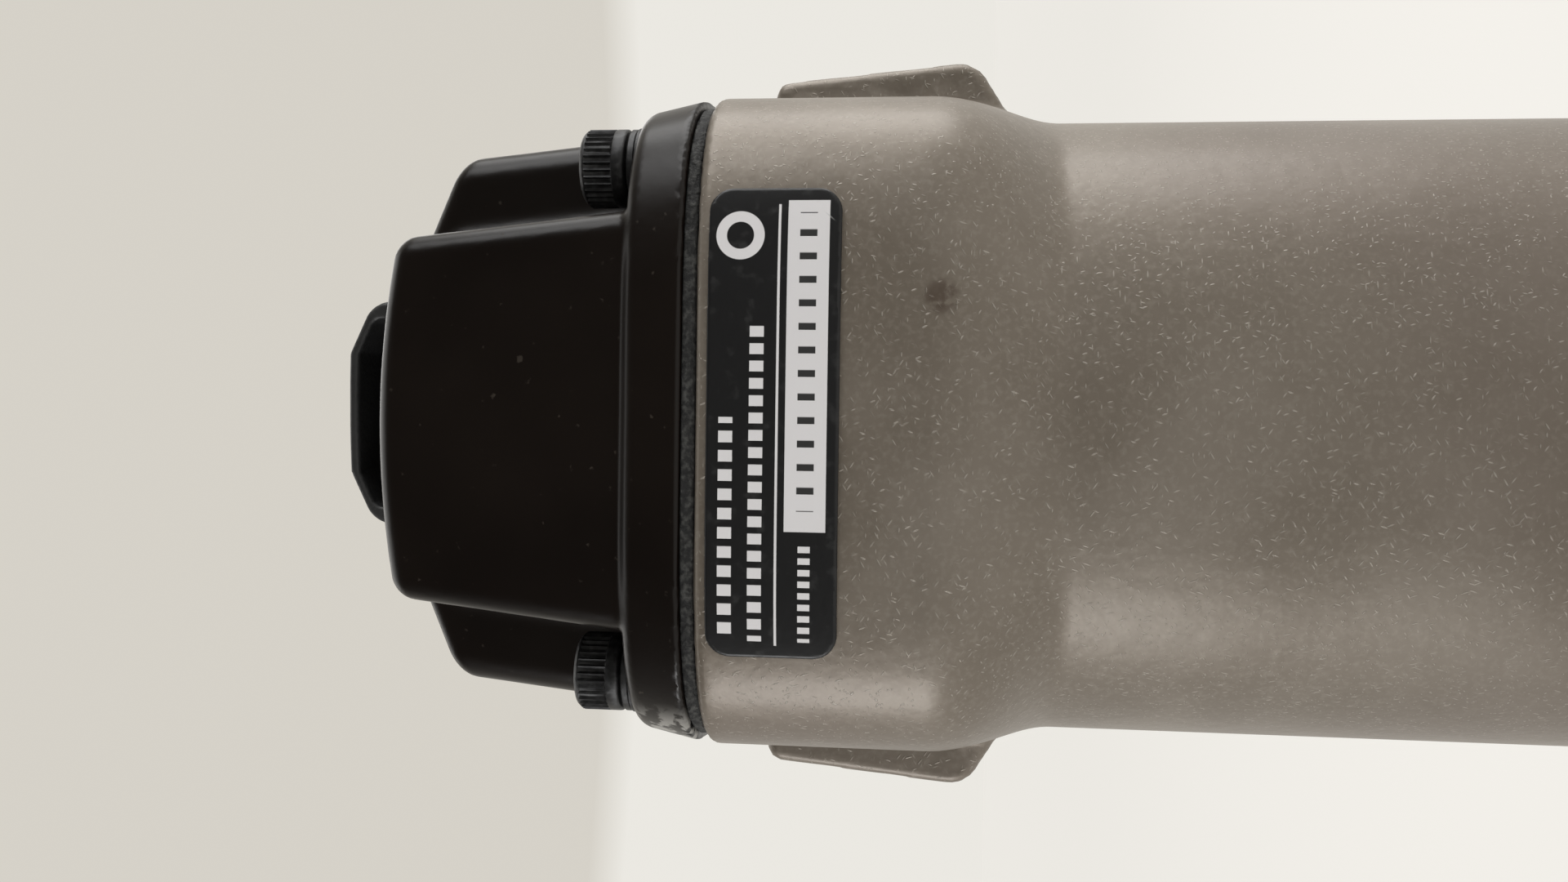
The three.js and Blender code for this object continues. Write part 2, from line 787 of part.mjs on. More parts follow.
add(capGroup, "cylinder_cap", cylinderCap(), blackCoat);

function capScrew() {
  const seat = gasketThickness + flangeThickness + 2 * gap + capWasherThickness;
  const head = socketHead(capHeadRadius, capHeadLength, capSocketRadius).translate(0, 0, seat);
  return join(head, rodZ(capShankRadius, gap - capScrewReach + 1, seat + 0.5, 0, 0, 12));
}

function springWasher() {
  const seat = gasketThickness + flangeThickness + gap;
  const ring = tubeZ(capWasherRadius, capShankRadius + gap, seat, seat + capWasherThickness, 16);
  const slit = block(0, capWasherRadius + 1, -washerSlit / 2, washerSlit / 2, seat - 1, flangeTop);
  return cut(ring, slit);
}

screwSpots(capScrewX, capScrewY).forEach(([x, y], i) => {
  const spot = group(x, y, 0, capGroup);
  add(spot, "cap_screw_" + (i + 1), capScrew(), blackOxide);
  add(spot, "cap_washer_" + (i + 1), springWasher(), blackOxide);
});

// ---------- exhaust deflector ----------
const deflectorGroup = group(0, 0, domeTop + gap);

function hoodSolid(inset, topInset, front, bottom) {
  const half = deflectorHalfX - inset;
  const top = deflectorHeight - topInset;
  const arch = new THREE.Shape();
  arch.moveTo(-half, bottom);
  arch.lineTo(half, bottom);
  arch.lineTo(half - 0.4, top - 5);
  arch.quadraticCurveTo(half - 1, top - 1.6, half - deflectorShoulder, top - 1);
  arch.quadraticCurveTo(0, top + 1, -half + deflectorShoulder, top - 1);
  arch.quadraticCurveTo(-half + 1, top - 1.6, -half + 0.4, top - 5);
  const depth = front + half;
  const tunnel = new THREE.ExtrudeGeometry(arch, { depth, bevelEnabled: false, curveSegments: 6 });
  tunnel.rotateX(Math.PI / 2).translate(0, half, 0);
  const plan = new THREE.Shape();
  plan.moveTo(-half, -front);
  plan.lineTo(half, -front);
  plan.absarc(0, 0, half, 0, Math.PI, false);
  const column = new THREE.ExtrudeGeometry(plan, {
    depth: deflectorHeight + 4,
    bevelEnabled: false,
    curveSegments: 14,
  });
  return common(tunnel, column.translate(0, 0, -2));
}

function exhaustDeflector() {
  const shell = hoodSolid(0, 0, deflectorFront, 0);
  const hollow = hoodSolid(deflectorSideWall, deflectorTopWall, deflectorFront + 1, -1);
  const boss = rodZ(deflectorBossRadius, 0, deflectorHeight - 1, 0, 0, 24);
  const hood = join(cut(shell, hollow), boss);
  const screwHole = rodZ(deflectorScrewRadius + gap, -1, deflectorHeight + 2, 0, 0, 14);
  const seat = deflectorHeight - deflectorHeadSink;
  const headHole = rodZ(deflectorHeadRadius + gap, seat, deflectorHeight + 2, 0, 0, 18);
  return cut(hood, screwHole, headHole);
}
add(deflectorGroup, "exhaust_deflector", exhaustDeflector(), blackPlastic);

function deflectorScrew() {
  const seat = deflectorHeight - deflectorHeadSink + gap;
  const head = socketHead(deflectorHeadRadius, deflectorHeadLength, 1.4).translate(0, 0, seat);
  return join(head, rodZ(deflectorScrewRadius, -deflectorScrewReach, seat + 0.5, 0, 0, 14));
}
add(deflectorGroup, "deflector_screw", deflectorScrew(), blackOxide);

// ---------- cylinder, piston, blade, bumper and head valve ----------
add(tool, "cylinder_sleeve", tubeZ(sleeveRadius, boreRadius, chamberFloor + gap, sleeveTop), bareAluminium);

function sleeveSeal(z) {
  const middle = (sleeveRadius + sealRibRadius) / 2;
  const radius = (sealRibRadius - sleeveRadius) / 2 - gap;
  return new THREE.TorusGeometry(middle, radius, 5, 28).translate(0, 0, z);
}
add(tool, "sleeve_seal", sleeveSeal(sealRibZ), softRubber);
add(tool, "bumper", tubeZ(boreRadius - gap, bumperBore, chamberFloor + gap, bumperTop), amberUrethane);

function piston() {
  const rim = boreRadius - gap;
  const ringTop = pistonTop - pistonLand;
  const ringBottom = ringTop - pistonRingHeight - 2 * gap;
  const body = turned([
    [0, pistonBottom],
    [pistonBossRadius - 1, pistonBottom],
    [pistonBossRadius, pistonBottom + 4],
    [rim - 1, pistonBottom + 5],
    [rim, pistonBottom + 6],
    [rim, ringBottom],
    [rim - pistonRingDepth, ringBottom],
    [rim - pistonRingDepth, ringTop],
    [rim, ringTop],
    [rim, pistonTop - 1],
    [rim - 1, pistonTop],
    [0, pistonTop],
  ]);
  const slot = block(
    -bladeWidth / 2 - gap,
    bladeWidth / 2 + gap,
    -bladeThickness / 2 - gap,
    bladeThickness / 2 + gap,
    pistonBottom - 1,
    pistonBottom + bladeSeat,
  );
  return cut(body, slot);
}
add(tool, "piston", piston(), bareAluminium);

function pistonRing() {
  const top = pistonTop - pistonLand - gap;
  return tubeZ(boreRadius - gap / 2, boreRadius - pistonRingDepth, top - pistonRingHeight, top);
}
add(tool, "piston_ring", pistonRing(), softRubber);

function driverBlade() {
  const x = bladeWidth / 2;
  const y = bladeThickness / 2;
  return block(-x, x, -y, y, bladeTip, pistonBottom + bladeSeat - gap);
}
add(tool, "driver_blade", driverBlade(), bareSteel);

function headValve() {
  const hubTop = valveDiscTop + valveHubHeight;
  return turned([
    [valveMouthRadius, valveDiscBottom],
    [valveDiscRadius, valveDiscBottom],
    [valveDiscRadius, valveDiscTop],
    [valveHubRadius, valveDiscTop],
    [valveHubRadius, hubTop],
    [valveHubRadius - valveWall, hubTop],
    [valveHubRadius - valveWall, valveDiscBottom + valveWall],
    [valveMouthRadius, valveDiscBottom + valveWall],
    [valveMouthRadius, valveDiscBottom],
  ]);
}
add(tool, "head_valve", headValve(), blackPlastic);

function headValveSpring() {
  return coilZ(valveHubRadius - headSpringInset, headSpringWire, valveSpringBottom, capCeiling - gap, 4);
}
add(tool, "head_valve_spring", headValveSpring(), bareSteel);

// ---------- grip, end cap and air inlet ----------
function handleSleeve() {
  const outer = (y, extra) => ({
    y,
    z: handleZ,
    a: handleHalfX + gap + extra,
    b: handleHalfZ + gap + extra,
    n: handleSquareness,
  });
  const skin = loftY([
    outer(gripStart, gripThickness * 0.6),
    outer(gripStart + gripEdge, gripThickness),
    outer(gripEnd - gripEdge, gripThickness),
    outer(gripEnd, gripThickness * 0.6),
  ]);
  return cut(skin, loftY([outer(gripStart - 1, 0), outer(gripEnd + 1, 0)]));
}
add(tool, "handle_grip", handleSleeve(), softRubber);

const endGroup = group(0, 0, handleZ);

function endPlate(y0, y1, inset) {
  return loftY([
    { y: y0, z: 0, a: handleEndHalfX - inset, b: handleEndHalfZ - inset, n: handleEndSquareness },
    { y: y1, z: 0, a: handleEndHalfX - inset, b: handleEndHalfZ - inset, n: handleEndSquareness },
  ]);
}

function endScrewHoles(y0, y1) {
  return screwSpots(endScrewX, endScrewZ).map(([x, z]) => rodY(endScrewRadius + gap, y0, y1, x, z, 12));
}

function endGasket() {
  const y0 = handleEnd + gap;
  const sheet = endPlate(y0, y0 + endGasketThickness, 0.5);
  return cut(sheet, rodY(11, y0 - 1, y0 + 3, 0, 0, 20), ...endScrewHoles(y0 - 1, y0 + 3));
}
add(endGroup, "end_cap_gasket", endGasket(), gasketFoam);

function endCap() {
  const body = loftY([
    { y: endCapStart, z: 0, a: handleEndHalfX, b: handleEndHalfZ, n: handleEndSquareness },
    { y: endCapEnd - endCapChamfer, z: 0, a: handleEndHalfX, b: handleEndHalfZ, n: handleEndSquareness },
    {
      y: endCapEnd,
      z: 0,
      a: handleEndHalfX - endCapChamfer,
      b: handleEndHalfZ - endCapChamfer,
      n: handleEndSquareness,
    },
  ]);
  const bore = rodY(inletRadius + gap, endCapStart - 1, endCapEnd + 1, 0, 0, 20);
  const headHoles = screwSpots(endScrewX, endScrewZ).map(([x, z]) =>
    rodY(endScrewHeadRadius + gap, endCapEnd - endScrewSink, endCapEnd + 1, x, z, 16),
  );
  return cut(body, bore, ...endScrewHoles(endCapStart - 1, endCapEnd + 1), ...headHoles);
}
add(endGroup, "end_cap", endCap(), blackCoat);

function endScrew() {
  const seat = endCapEnd - endScrewSink + gap;
  const head = socketHead(endScrewHeadRadius, endScrewHeadLength, 1.8);
  head.rotateX(-Math.PI / 2).translate(0, seat, 0);
  return join(head, rodY(endScrewRadius, handleEnd - endScrewReach, seat + 0.5, 0, 0, 12));
}
screwSpots(endScrewX, endScrewZ).forEach(([x, z], i) => {
  add(group(x, 0, z, endGroup), "end_cap_screw_" + (i + 1), endScrew(), blackOxide);
});

function airPlug() {
  const hexStart = endCapEnd + gap;
  const nippleStart = hexStart + inletHexLength;
  const tip = nippleStart + inletNippleLength;
  const shank = rodY(inletRadius, endCapStart + 1, hexStart + 1, 0, 0, 20);
  const hex = rodY(inletHexRadius, hexStart, nippleStart, 0, 0, 6);
  const nipple = turned(
    [
      [0, nippleStart - 1],
      [inletNippleRadius, nippleStart - 1],
      [inletNippleRadius, nippleStart + 4],
      [inletNeckRadius, nippleStart + 5.5],
      [inletNeckRadius, nippleStart + 9],
      [inletNippleRadius, nippleStart + 10.5],
      [inletNippleRadius, nippleStart + 13],
      [inletTipRadius, tip - 4],
      [inletTipRadius, tip],
      [0, tip],
    ],
    28,
  ).rotateX(-Math.PI / 2);
  return cut(join(shank, hex, nipple), rodY(inletBoreRadius, endCapStart, tip + 1, 0, 0, 16));
}
add(endGroup, "air_plug", airPlug(), bareSteel);

// ---------- trigger, rocker and trigger valve ----------
const triggerGroup = group(0, triggerPivotY, triggerPivotZ);

function trigger() {
  const padTop = triggerPadThickness - rockerDrop - triggerPadDrop;
  const knuckle = triggerKnuckleRadius;
  const wallShape = new THREE.Shape();
  wallShape.moveTo(-knuckle, 0);
  wallShape.lineTo(-knuckle, -8);
  wallShape.lineTo(triggerPadStart, padTop - 1);
  wallShape.lineTo(triggerLength - 2, padTop - 1);
  wallShape.lineTo(triggerLength, padTop + 6);
  wallShape.lineTo(triggerLength - 3, padTop + 12);
  wallShape.lineTo(knuckle, 2.6);
  wallShape.absarc(0, 0, knuckle, 0.9, Math.PI, false);
  const wallMiddle = triggerHalfX - triggerWall / 2;
  const walls = [-wallMiddle, wallMiddle].map((x) => sideExtrude(wallShape, triggerWall).translate(x, 0, 0));
  const padShape = new THREE.Shape();
  const hollowDepth = 0.6 + triggerPadThickness / 2;
  padShape.moveTo(triggerPadStart, padTop);
  padShape.lineTo(triggerPadStart, padTop - 3);
  padShape.quadraticCurveTo(triggerLength * 0.5, padTop - hollowDepth, triggerLength, padTop - 5);
  padShape.lineTo(triggerLength, padTop);
  const pad = sideExtrude(padShape, 2 * triggerHalfX);
  const body = join(pad, ...walls);
  const pinHole = rodX(triggerPinRadius + gap, -triggerHalfX - 1, triggerHalfX + 1, 0, 0);
  const rockerHole = rodX(
    rockerPinRadius + gap,
    -triggerHalfX - 1,
    triggerHalfX + 1,
    rockerY - triggerPivotY,
    rockerZ - triggerPivotZ,
    14,
  );
  return cut(body, pinHole, rockerHole);
}
add(triggerGroup, "trigger", trigger(), blackPlastic);
add(triggerGroup, "trigger_pin", rodX(triggerPinRadius, -earOuter, earOuter, 0, 0), bareSteel);

function triggerSpring() {
  const half = triggerHalfX - triggerWall - 2;
  return coilZ(triggerSpringRadius, triggerSpringWire, -half, half, 5).rotateY(Math.PI / 2);
}
add(triggerGroup, "trigger_spring", triggerSpring(), bareSteel);

const rockerGroup = group(0, rockerY, rockerZ);

function rocker() {
  const half = triggerHalfX - triggerWall - 2 * gap;
  const boss = rodX(rockerPinRadius + rockerWall, -half, half, 0, 0, 16);
  const bar = block(-half, half, -rockerReach, 0, -rockerThickness / 2, rockerThickness / 2);
  return join(bar, boss, rodX(rockerPinRadius, -triggerHalfX, triggerHalfX, 0, 0, 14));
}
add(rockerGroup, "rocker_lever", rocker(), bareSteel);

const valveGroup = group(0, stemY, 0);

function valveBody() {
  const outer = rodZ(valveBodyRadius, valveBodyBottom, valveBodyTop, 0, 0, 20);
  const guide = rodZ(stemRadius + gap, valveBodyBottom - 1, stemCollarZ, 0, 0, 16);
  const pocket = rodZ(stemCollarRadius + gap, stemCollarZ - gap, valveBodyTop + 1, 0, 0, 20);
  return cut(outer, guide, pocket);
}
add(valveGroup, "valve_body", valveBody(), blackPlastic);

function valveCap() {
  const disc = rodZ(valveBodyRadius, valveBodyTop + gap, valveBodyTop + gap + valveCapHeight, 0, 0, 20);
  const vent = rodZ(stemRadius - gap, valveBodyTop, valveBodyTop + gap + valveCapHeight + 1, 0, 0, 12);
  return cut(disc, vent);
}
add(valveGroup, "valve_cap", valveCap(), bareAluminium);

function valveStem() {
  const stem = rodZ(stemRadius, stemBottom, stemCollarZ + stemTailLength, 0, 0, 16);
  return join(stem, rodZ(stemCollarRadius, stemCollarZ, stemCollarZ + stemCollarHeight, 0, 0, 20));
}
add(valveGroup, "valve_stem", valveStem(), bareSteel);

function valveSpring() {
  return coilZ(valveSpringRadius, valveSpringWire, stemCollarZ + stemCollarHeight + gap, valveBodyTop, 4);
}
add(valveGroup, "valve_spring", valveSpring(), bareSteel);

// ---------- nose ----------
function noseBody() {
  const flangePlan = roundSquareShape(noseFlangeHalfX, noseFlangeHalfY, 3.2, 32);
  const flange = plate(flangePlan, nosePlateBottom, nosePlateTop);
  const column = block(-noseHalfX, noseHalfX, -noseFront, noseBack, noseColumnBottom, nosePlateBottom + 1);
  const back = block(-noseHalfX, noseHalfX, -channelFront, noseBack, noseBottom, noseColumnBottom + 1);
  const bridgeTop = doorPivotZ - doorRadius - gap;
  const bridge = block(-noseHalfX, noseHalfX, -noseFront, noseBack, noseBottom, bridgeTop);
  const cheeks = [-noseHalfX, doorHalfX + gap].map((x) =>
    block(x, x + noseHalfX - doorHalfX - gap, -noseFront, 0, noseBottom + 4, doorPivotZ + 5),
  );
  const guide = block(
    noseHalfX - 1,
    tripX + tripRadius + tripGuideWall,
    -tripGuideHalfY,
    tripGuideHalfY,
    tripGuideZ,
    tripGuideZ + tripGuideHeight,
  );
  const channel = block(
    -channelHalfX,
    channelHalfX,
    -channelFront - 0.1,
    channelBack,
    noseBottom - 1,
    barrelBottom + 1,
  );
  const feed = block(-feedHalfX, feedHalfX, 0, noseBack + 1, magazineBottom + coreWeb, magazineTop - coreWeb);
  const rodHole = rodZ(tripRadius + gap, tripGuideZ - 1, tripGuideZ + tripGuideHeight + 1, tripX, 0, 16);
  const hingeHole = rodX(doorPinRadius + gap, -noseHalfX - 1, noseHalfX + 1, doorPivotY, doorPivotZ);
  const screwHoles = screwSpots(noseScrewX, noseScrewY).map(([x, y]) =>
    rodZ(capShankRadius + gap, nosePlateBottom - 1, nosePlateTop + 1, x, y, 12),
  );
  const solid = join(flange, column, back, bridge, ...cheeks, guide);
  return cut(solid, channel, feed, rodHole, hingeHole, ...screwHoles);
}
add(tool, "nose_body", noseBody(), blackCoat);

function noseScrew() {
  const head = socketHead(capHeadRadius, capHeadLength, capSocketRadius).rotateX(Math.PI);
  head.translate(0, 0, nosePlateBottom - gap);
  return join(head, rodZ(capShankRadius, nosePlateBottom - 1, chamberFloor - 1 - gap, 0, 0, 12));
}
screwSpots(noseScrewX, noseScrewY).forEach(([x, y], i) => {
  add(group(x, y, 0), "nose_screw_" + (i + 1), noseScrew(), blackOxide);
});

const doorGroup = group(0, doorPivotY, doorPivotZ);

function noseDoor() {
  const top = noseColumnBottom - gap - doorPivotZ;
  const leaf = block(-doorHalfX, doorHalfX, -doorRadius, doorRadius, 0, top);
  const knuckle = rodX(doorRadius, -doorHalfX, doorHalfX, 0, 0, 24);
  const latchZ = latchPivotZ - doorPivotZ;
  const latchY = latchPivotY - doorPivotY;
  const lugs = [-doorHalfX, latchHalfX + gap].map((x) =>
    block(x, x + doorHalfX - latchHalfX - gap, latchY - 2.6, 0, latchZ - latchLugHalf, latchZ + latchLugHalf),
  );
  const pinHole = rodX(doorPinRadius + gap, -doorHalfX - 1, doorHalfX + 1, 0, 0);
  const latchHole = rodX(latchPinRadius + gap, -doorHalfX - 1, doorHalfX + 1, latchY, latchZ, 14);
  return cut(join(leaf, knuckle, ...lugs), pinHole, latchHole);
}
add(doorGroup, "nose_door", noseDoor(), bareSteel);
add(doorGroup, "door_hinge_pin", rodX(doorPinRadius, -noseHalfX, noseHalfX, 0, 0), bareSteel);

const latchGroup = group(0, latchPivotY, latchPivotZ);

function doorLatch() {
  const boss = rodX(2.1, -latchHalfX, latchHalfX, 0, 0, 18);
  const arm = new THREE.Shape();
  arm.moveTo(-2, 0);
  arm.lineTo(-2.4, -latchLength + 4);
  arm.quadraticCurveTo(-3, -latchLength, -6, -latchLength - 2);
  arm.lineTo(-4.6, -latchLength - 3);
  arm.quadraticCurveTo(0, -latchLength, 0.6, -latchLength + 4);
  arm.lineTo(1.6, 0);
  const bar = sideExtrude(arm, 2 * latchHalfX, 5);
  return join(boss, bar, rodX(latchPinRadius, -doorHalfX, doorHalfX, 0, 0, 14));
}
add(latchGroup, "door_latch", doorLatch(), blackOxide);

// ---------- contact trip: rod, spring, depth wheel, foot and its soft pad ----------
function contactRod() {
  const route = [
    new THREE.Vector3(tripX, 0, tripBottomZ),
    new THREE.Vector3(tripX, 0, tripTurnZ),
    new THREE.Vector3(tripX, tripBackY, tripTurnZ),
    new THREE.Vector3(0, tripBackY, tripTurnZ),
    new THREE.Vector3(0, tripBackY, tripTopZ),
  ];
  const collar = rodZ(tripRadius + 2, tripCollarZ, tripCollarZ + tripCollarHeight, tripX, 0, 18);
  return join(bentBar(route, tripRadius, 10), collar);
}
add(tool, "contact_rod", contactRod(), bareSteel);

function contactSpring() {
  const bottom = tripCollarZ + tripCollarHeight + gap;
  return coilZ(tripRadius + 1.3, tripSpringWire, bottom, tripGuideZ - gap, 5).translate(tripX, 0, 0);
}
add(tool, "contact_spring", contactSpring(), bareSteel);

// A square ring round the nose's front and sides, open at the back.
function footRing(z0, z1) {
  const outside = block(-footOuter, footOuter, -footFront - footWall, footBackY, z0, z1);
  const inside = block(-footInner, footInner, -footFront, footBackY + 1, z0 - 1, z1 + 1);
  return cut(outside, inside);
}

function contactFoot() {
  const ring = footRing(padThickness + gap, footHeight);
  const rail = block(footInner, footOuter, -footFrontY, footBackY, footHeight - 1, footRise);
  const lugStart = footOuter - 0.5;
  const lugEnd = tripX + tripRadius + footWall - 2 * gap - 0.2;
  const half = tripGuideHalfY;
  const lowerLug = block(lugStart, lugEnd, -half, half, wheelZ - gap - footLug, wheelZ - gap);
  const upperLug = block(lugStart, lugEnd, -half, half, wheelZ + wheelHeight + gap, footRise);
  const rodHole = rodZ(tripRadius + gap, wheelZ - 2 * footLug, footRise + 1, tripX, 0, 16);
  return cut(join(ring, rail, lowerLug, upperLug), rodHole);
}
add(tool, "contact_foot", contactFoot(), bareSteel);
add(tool, "no_mar_pad", footRing(0, padThickness), softRubber);

function depthWheel() {
  const wheel = new THREE.Shape();
  for (let i = 0; i < 2 * wheelTeeth; i++) {
    const angle = (Math.PI * i) / wheelTeeth;
    const radius = i % 2 ? wheelRadius : wheelRadius - wheelToothDepth;
    if (i === 0) wheel.moveTo(radius, 0);
    else wheel.lineTo(radius * Math.cos(angle), radius * Math.sin(angle));
  }
  return cut(plate(wheel, 0, wheelHeight), rodZ(tripRadius + gap, -1, wheelHeight + 1, 0, 0, 16));
}
add(group(tripX, 0, wheelZ), "depth_wheel", depthWheel(), bareAluminium);

// ---------- magazine ----------
const magazineGroup = group(0, magazineStart, 0);

function magazineCore() {
  const body = block(-coreLeft, coreRight, 0, magazineLength, magazineBottom, magazineTop);
  const channel = block(
    -coreLeft + coreWall,
    coreRight + 1,
    -1,
    magazineLength - coreEndBlock,
    magazineBottom + coreWeb,
    magazineTop - coreWeb,
  );
  const slot = block(
    -coreLeft - 1,
    -coreLeft + coreWall + 1,
    pusherStart - 2,
    magazineLength - coreEndBlock - 1,
    magazineMiddle - tabSlotHeight / 2,
    magazineMiddle + tabSlotHeight / 2,
  );
  const boltY = bracketBoltY - magazineStart;
  const boltHole = rodX(bracketBoltRadius + gap, -coreLeft - 1, coreRight - 2, boltY, coreBoltZ, 14);
  const earEnd = magazineLength + 2 * coverLatchRadius + gap;
  const ears = [-coreLeft, coreRight - coverLatchEar].map((x) =>
    block(
      x,
      x + coverLatchEar,
      magazineLength - 1,
      earEnd,
      coverLatchZ - coverLatchEarHalf,
      coverLatchZ + coverLatchEarHalf,
    ),
  );
  const pinHole = rodX(
    latchPinRadius + gap,
    -coreLeft - 1,
    coreRight + 1,
    magazineLength + gap + coverLatchRadius,
    coverLatchZ,
    14,
  );
  return cut(join(body, ...ears), channel, slot, boltHole, pinHole);
}

add(magazineGroup, "magazine_core", magazineCore(), bareAluminium);

function magazineCover() {
  const length = magazineLength - coverShort;
  const low = magazineBottom - gap;
  const high = magazineTop + gap;
  const outline = new THREE.Shape();
  outline.moveTo(coverInner, low);
  outline.lineTo(coverInner - coverLip, low);
  outline.lineTo(coverInner - coverLip, low - coverThickness);
  outline.lineTo(coverOuter, low - coverThickness);
  outline.lineTo(coverOuter, high + coverThickness);
  outline.lineTo(coverInner - coverLip, high + coverThickness);
  outline.lineTo(coverInner - coverLip, high);
  outline.lineTo(coverInner, high);
  const rail = new THREE.ExtrudeGeometry(outline, { depth: length, bevelEnabled: false });
  return rail.rotateX(Math.PI / 2).translate(0, length + 1, 0);
}
add(magazineGroup, "magazine_cover", magazineCover(), blackCoat);

const coilY = pusherStart + pusherLength - coilRadius - 1.8;
const coilZCentre = magazineMiddle + coilLift;
const coilLeft = -1.6;

function nailPusher() {
  const body = block(
    -coreLeft + coreWall + gap,
    coreRight - 2 * gap,
    pusherStart,
    pusherStart + pusherLength,
    magazineMiddle - pusherHeight / 2,
    magazineMiddle + pusherHeight / 2,
  );
  const tab = block(
    -coreLeft - tabReach,
    -coreLeft + coreWall + 1,
    pusherStart + 2,
    pusherStart + pusherLength - 2,
    magazineMiddle - tabThickness / 2,
    magazineMiddle + tabThickness / 2,
  );
  return cut(join(body, tab), rodX(coilRadius + coilPocketRoom, coilLeft, coreRight, coilY, coilZCentre, 20));
}
add(magazineGroup, "nail_pusher", nailPusher(), bareSteel);

function pusherSpring() {
  const coil = tubeZ(coilRadius, coilBore, coilLeft + gap, coreRight - 2 * gap, 20);
  return coil.rotateY(Math.PI / 2).translate(0, coilY, coilZCentre);
}
add(magazineGroup, "pusher_spring", pusherSpring(), bareSteel);

const coverLatchGroup = group(0, magazineLength + gap + coverLatchRadius, coverLatchZ, magazineGroup);

function magazineLatch() {
  const x0 = -coreLeft + coverLatchEar + gap;
  const x1 = coreRight - coverLatchEar - gap;
  const boss = rodX(coverLatchRadius, x0, x1, 0, 0, 18);
  const arm = block(x0, x1, -coverLatchRadius, 1.4, -coverLatchLength, 0);
  const grip = block(x0, x1, 0, coverLatchGrip + 1, -coverLatchLength, -coverLatchLength + coverLatchGrip);
  return join(boss, arm, grip, rodX(latchPinRadius, -coreLeft, coreRight, 0, 0, 14));
}
add(coverLatchGroup, "magazine_latch", magazineLatch(), blackPlastic);

function magazineBracket() {
  const outerX = -coreLeft - gap - bracketThickness;
  const y0 = bracketBoltY - bracketWidth / 2;
  const y1 = bracketBoltY + bracketWidth / 2;
  const strap = block(outerX, -coreLeft - gap, y0, y1, coreBoltZ - bracketFoot, handleBottom - gap);
  const shelf = block(outerX, -outerX, y0, y1, handleBottom - gap - bracketThickness, handleBottom - gap);
  const upperHole = rodZ(bracketBoltRadius + gap, handleBottom - 10, handleBottom + 1, 0, bracketBoltY, 14);
  const lowerHole = rodX(bracketBoltRadius + gap, outerX - 1, -coreLeft, bracketBoltY, coreBoltZ, 14);
  return cut(join(strap, shelf), upperHole, lowerHole);
}
add(tool, "magazine_bracket", magazineBracket(), blackCoat);

function bracketBolt(reach) {
  const head = socketHead(4.2, 4, 2.2).translate(0, 0, gap);
  return join(head, rodZ(bracketBoltRadius, -reach, gap + 0.5, 0, 0, 14));
}
const handleBolt = bracketBolt(bracketThickness + bracketBoltReach).rotateX(Math.PI);
const handleBoltSeat = group(0, bracketBoltY, handleBottom - gap - bracketThickness);
add(handleBoltSeat, "bracket_bolt_upper", handleBolt, blackOxide);
const coreBolt = bracketBolt(bracketThickness + gap + coreLeft + coreRight - 4).rotateY(-Math.PI / 2);
const coreBoltSeat = group(-coreLeft - gap - bracketThickness, bracketBoltY, coreBoltZ);
add(coreBoltSeat, "bracket_bolt_lower", coreBolt, blackOxide);

function rearPad() {
  const start = magazineLength - coreEndBlock + 3;
  const top = magazineBottom - gap;
  return block(-coreLeft, coreRight - coverLip - 2, start, magazineLength, top - rearPadHeight, top);
}
add(magazineGroup, "rear_pad", rearPad(), softRubber);

export default tool;
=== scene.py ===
import json
import math

import bmesh
import bpy
import numpy as np
from mathutils import Matrix, Vector


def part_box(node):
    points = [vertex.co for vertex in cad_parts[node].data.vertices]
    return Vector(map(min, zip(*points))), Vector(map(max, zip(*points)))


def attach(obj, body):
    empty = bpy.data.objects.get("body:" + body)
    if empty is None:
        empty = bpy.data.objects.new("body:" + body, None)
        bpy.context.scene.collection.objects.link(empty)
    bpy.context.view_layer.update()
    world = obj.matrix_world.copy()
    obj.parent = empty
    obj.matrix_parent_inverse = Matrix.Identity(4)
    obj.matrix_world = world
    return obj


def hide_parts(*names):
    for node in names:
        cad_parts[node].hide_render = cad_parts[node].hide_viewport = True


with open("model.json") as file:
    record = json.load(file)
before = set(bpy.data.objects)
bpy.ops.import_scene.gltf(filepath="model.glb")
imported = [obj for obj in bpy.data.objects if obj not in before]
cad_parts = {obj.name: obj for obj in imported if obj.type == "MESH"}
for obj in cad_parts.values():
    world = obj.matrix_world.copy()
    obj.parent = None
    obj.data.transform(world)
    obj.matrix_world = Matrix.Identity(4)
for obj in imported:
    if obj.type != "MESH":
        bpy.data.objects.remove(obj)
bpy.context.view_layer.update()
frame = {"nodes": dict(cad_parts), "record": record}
record = frame["record"]
bodyOf = {node: body for body, nodes in record["behaviour"]["bodies"].items() for node in nodes}
slotOf = {part["node"]: part["material_slot"] for part in record["subparts"]}
print("frame loaded:", len(frame["nodes"]), "nodes")


def boxOf(node):  # a node's lowest and highest corners in millimetres, y measured from the drive axis
    low, high = (np.array(corner) * 1000 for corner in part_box(node))
    low[1] -= axisY
    high[1] -= axisY
    return low, high


axisY = 0.0
sleeveLow, sleeveHigh = boxOf("cylinder_sleeve")
axisY = (sleeveLow[1] + sleeveHigh[1]) / 2  # the drive axis stands at x = 0 and this y
housingLow, housingHigh = boxOf("housing")
capLow, capHigh = boxOf("cylinder_cap")


# camera, light and floor

cameraSetup = {"lens": 31.7, "place": (0.7, -171.0, 219.7), "rise": 6.44, "pitch": -1.01, "roll": 0.76}


def leaned(first, second, angle):  # both directions turned by the angle in their own plane
    cosine, sine = math.cos(angle), math.sin(angle)
    return first * cosine + second * sine, second * cosine - first * sine


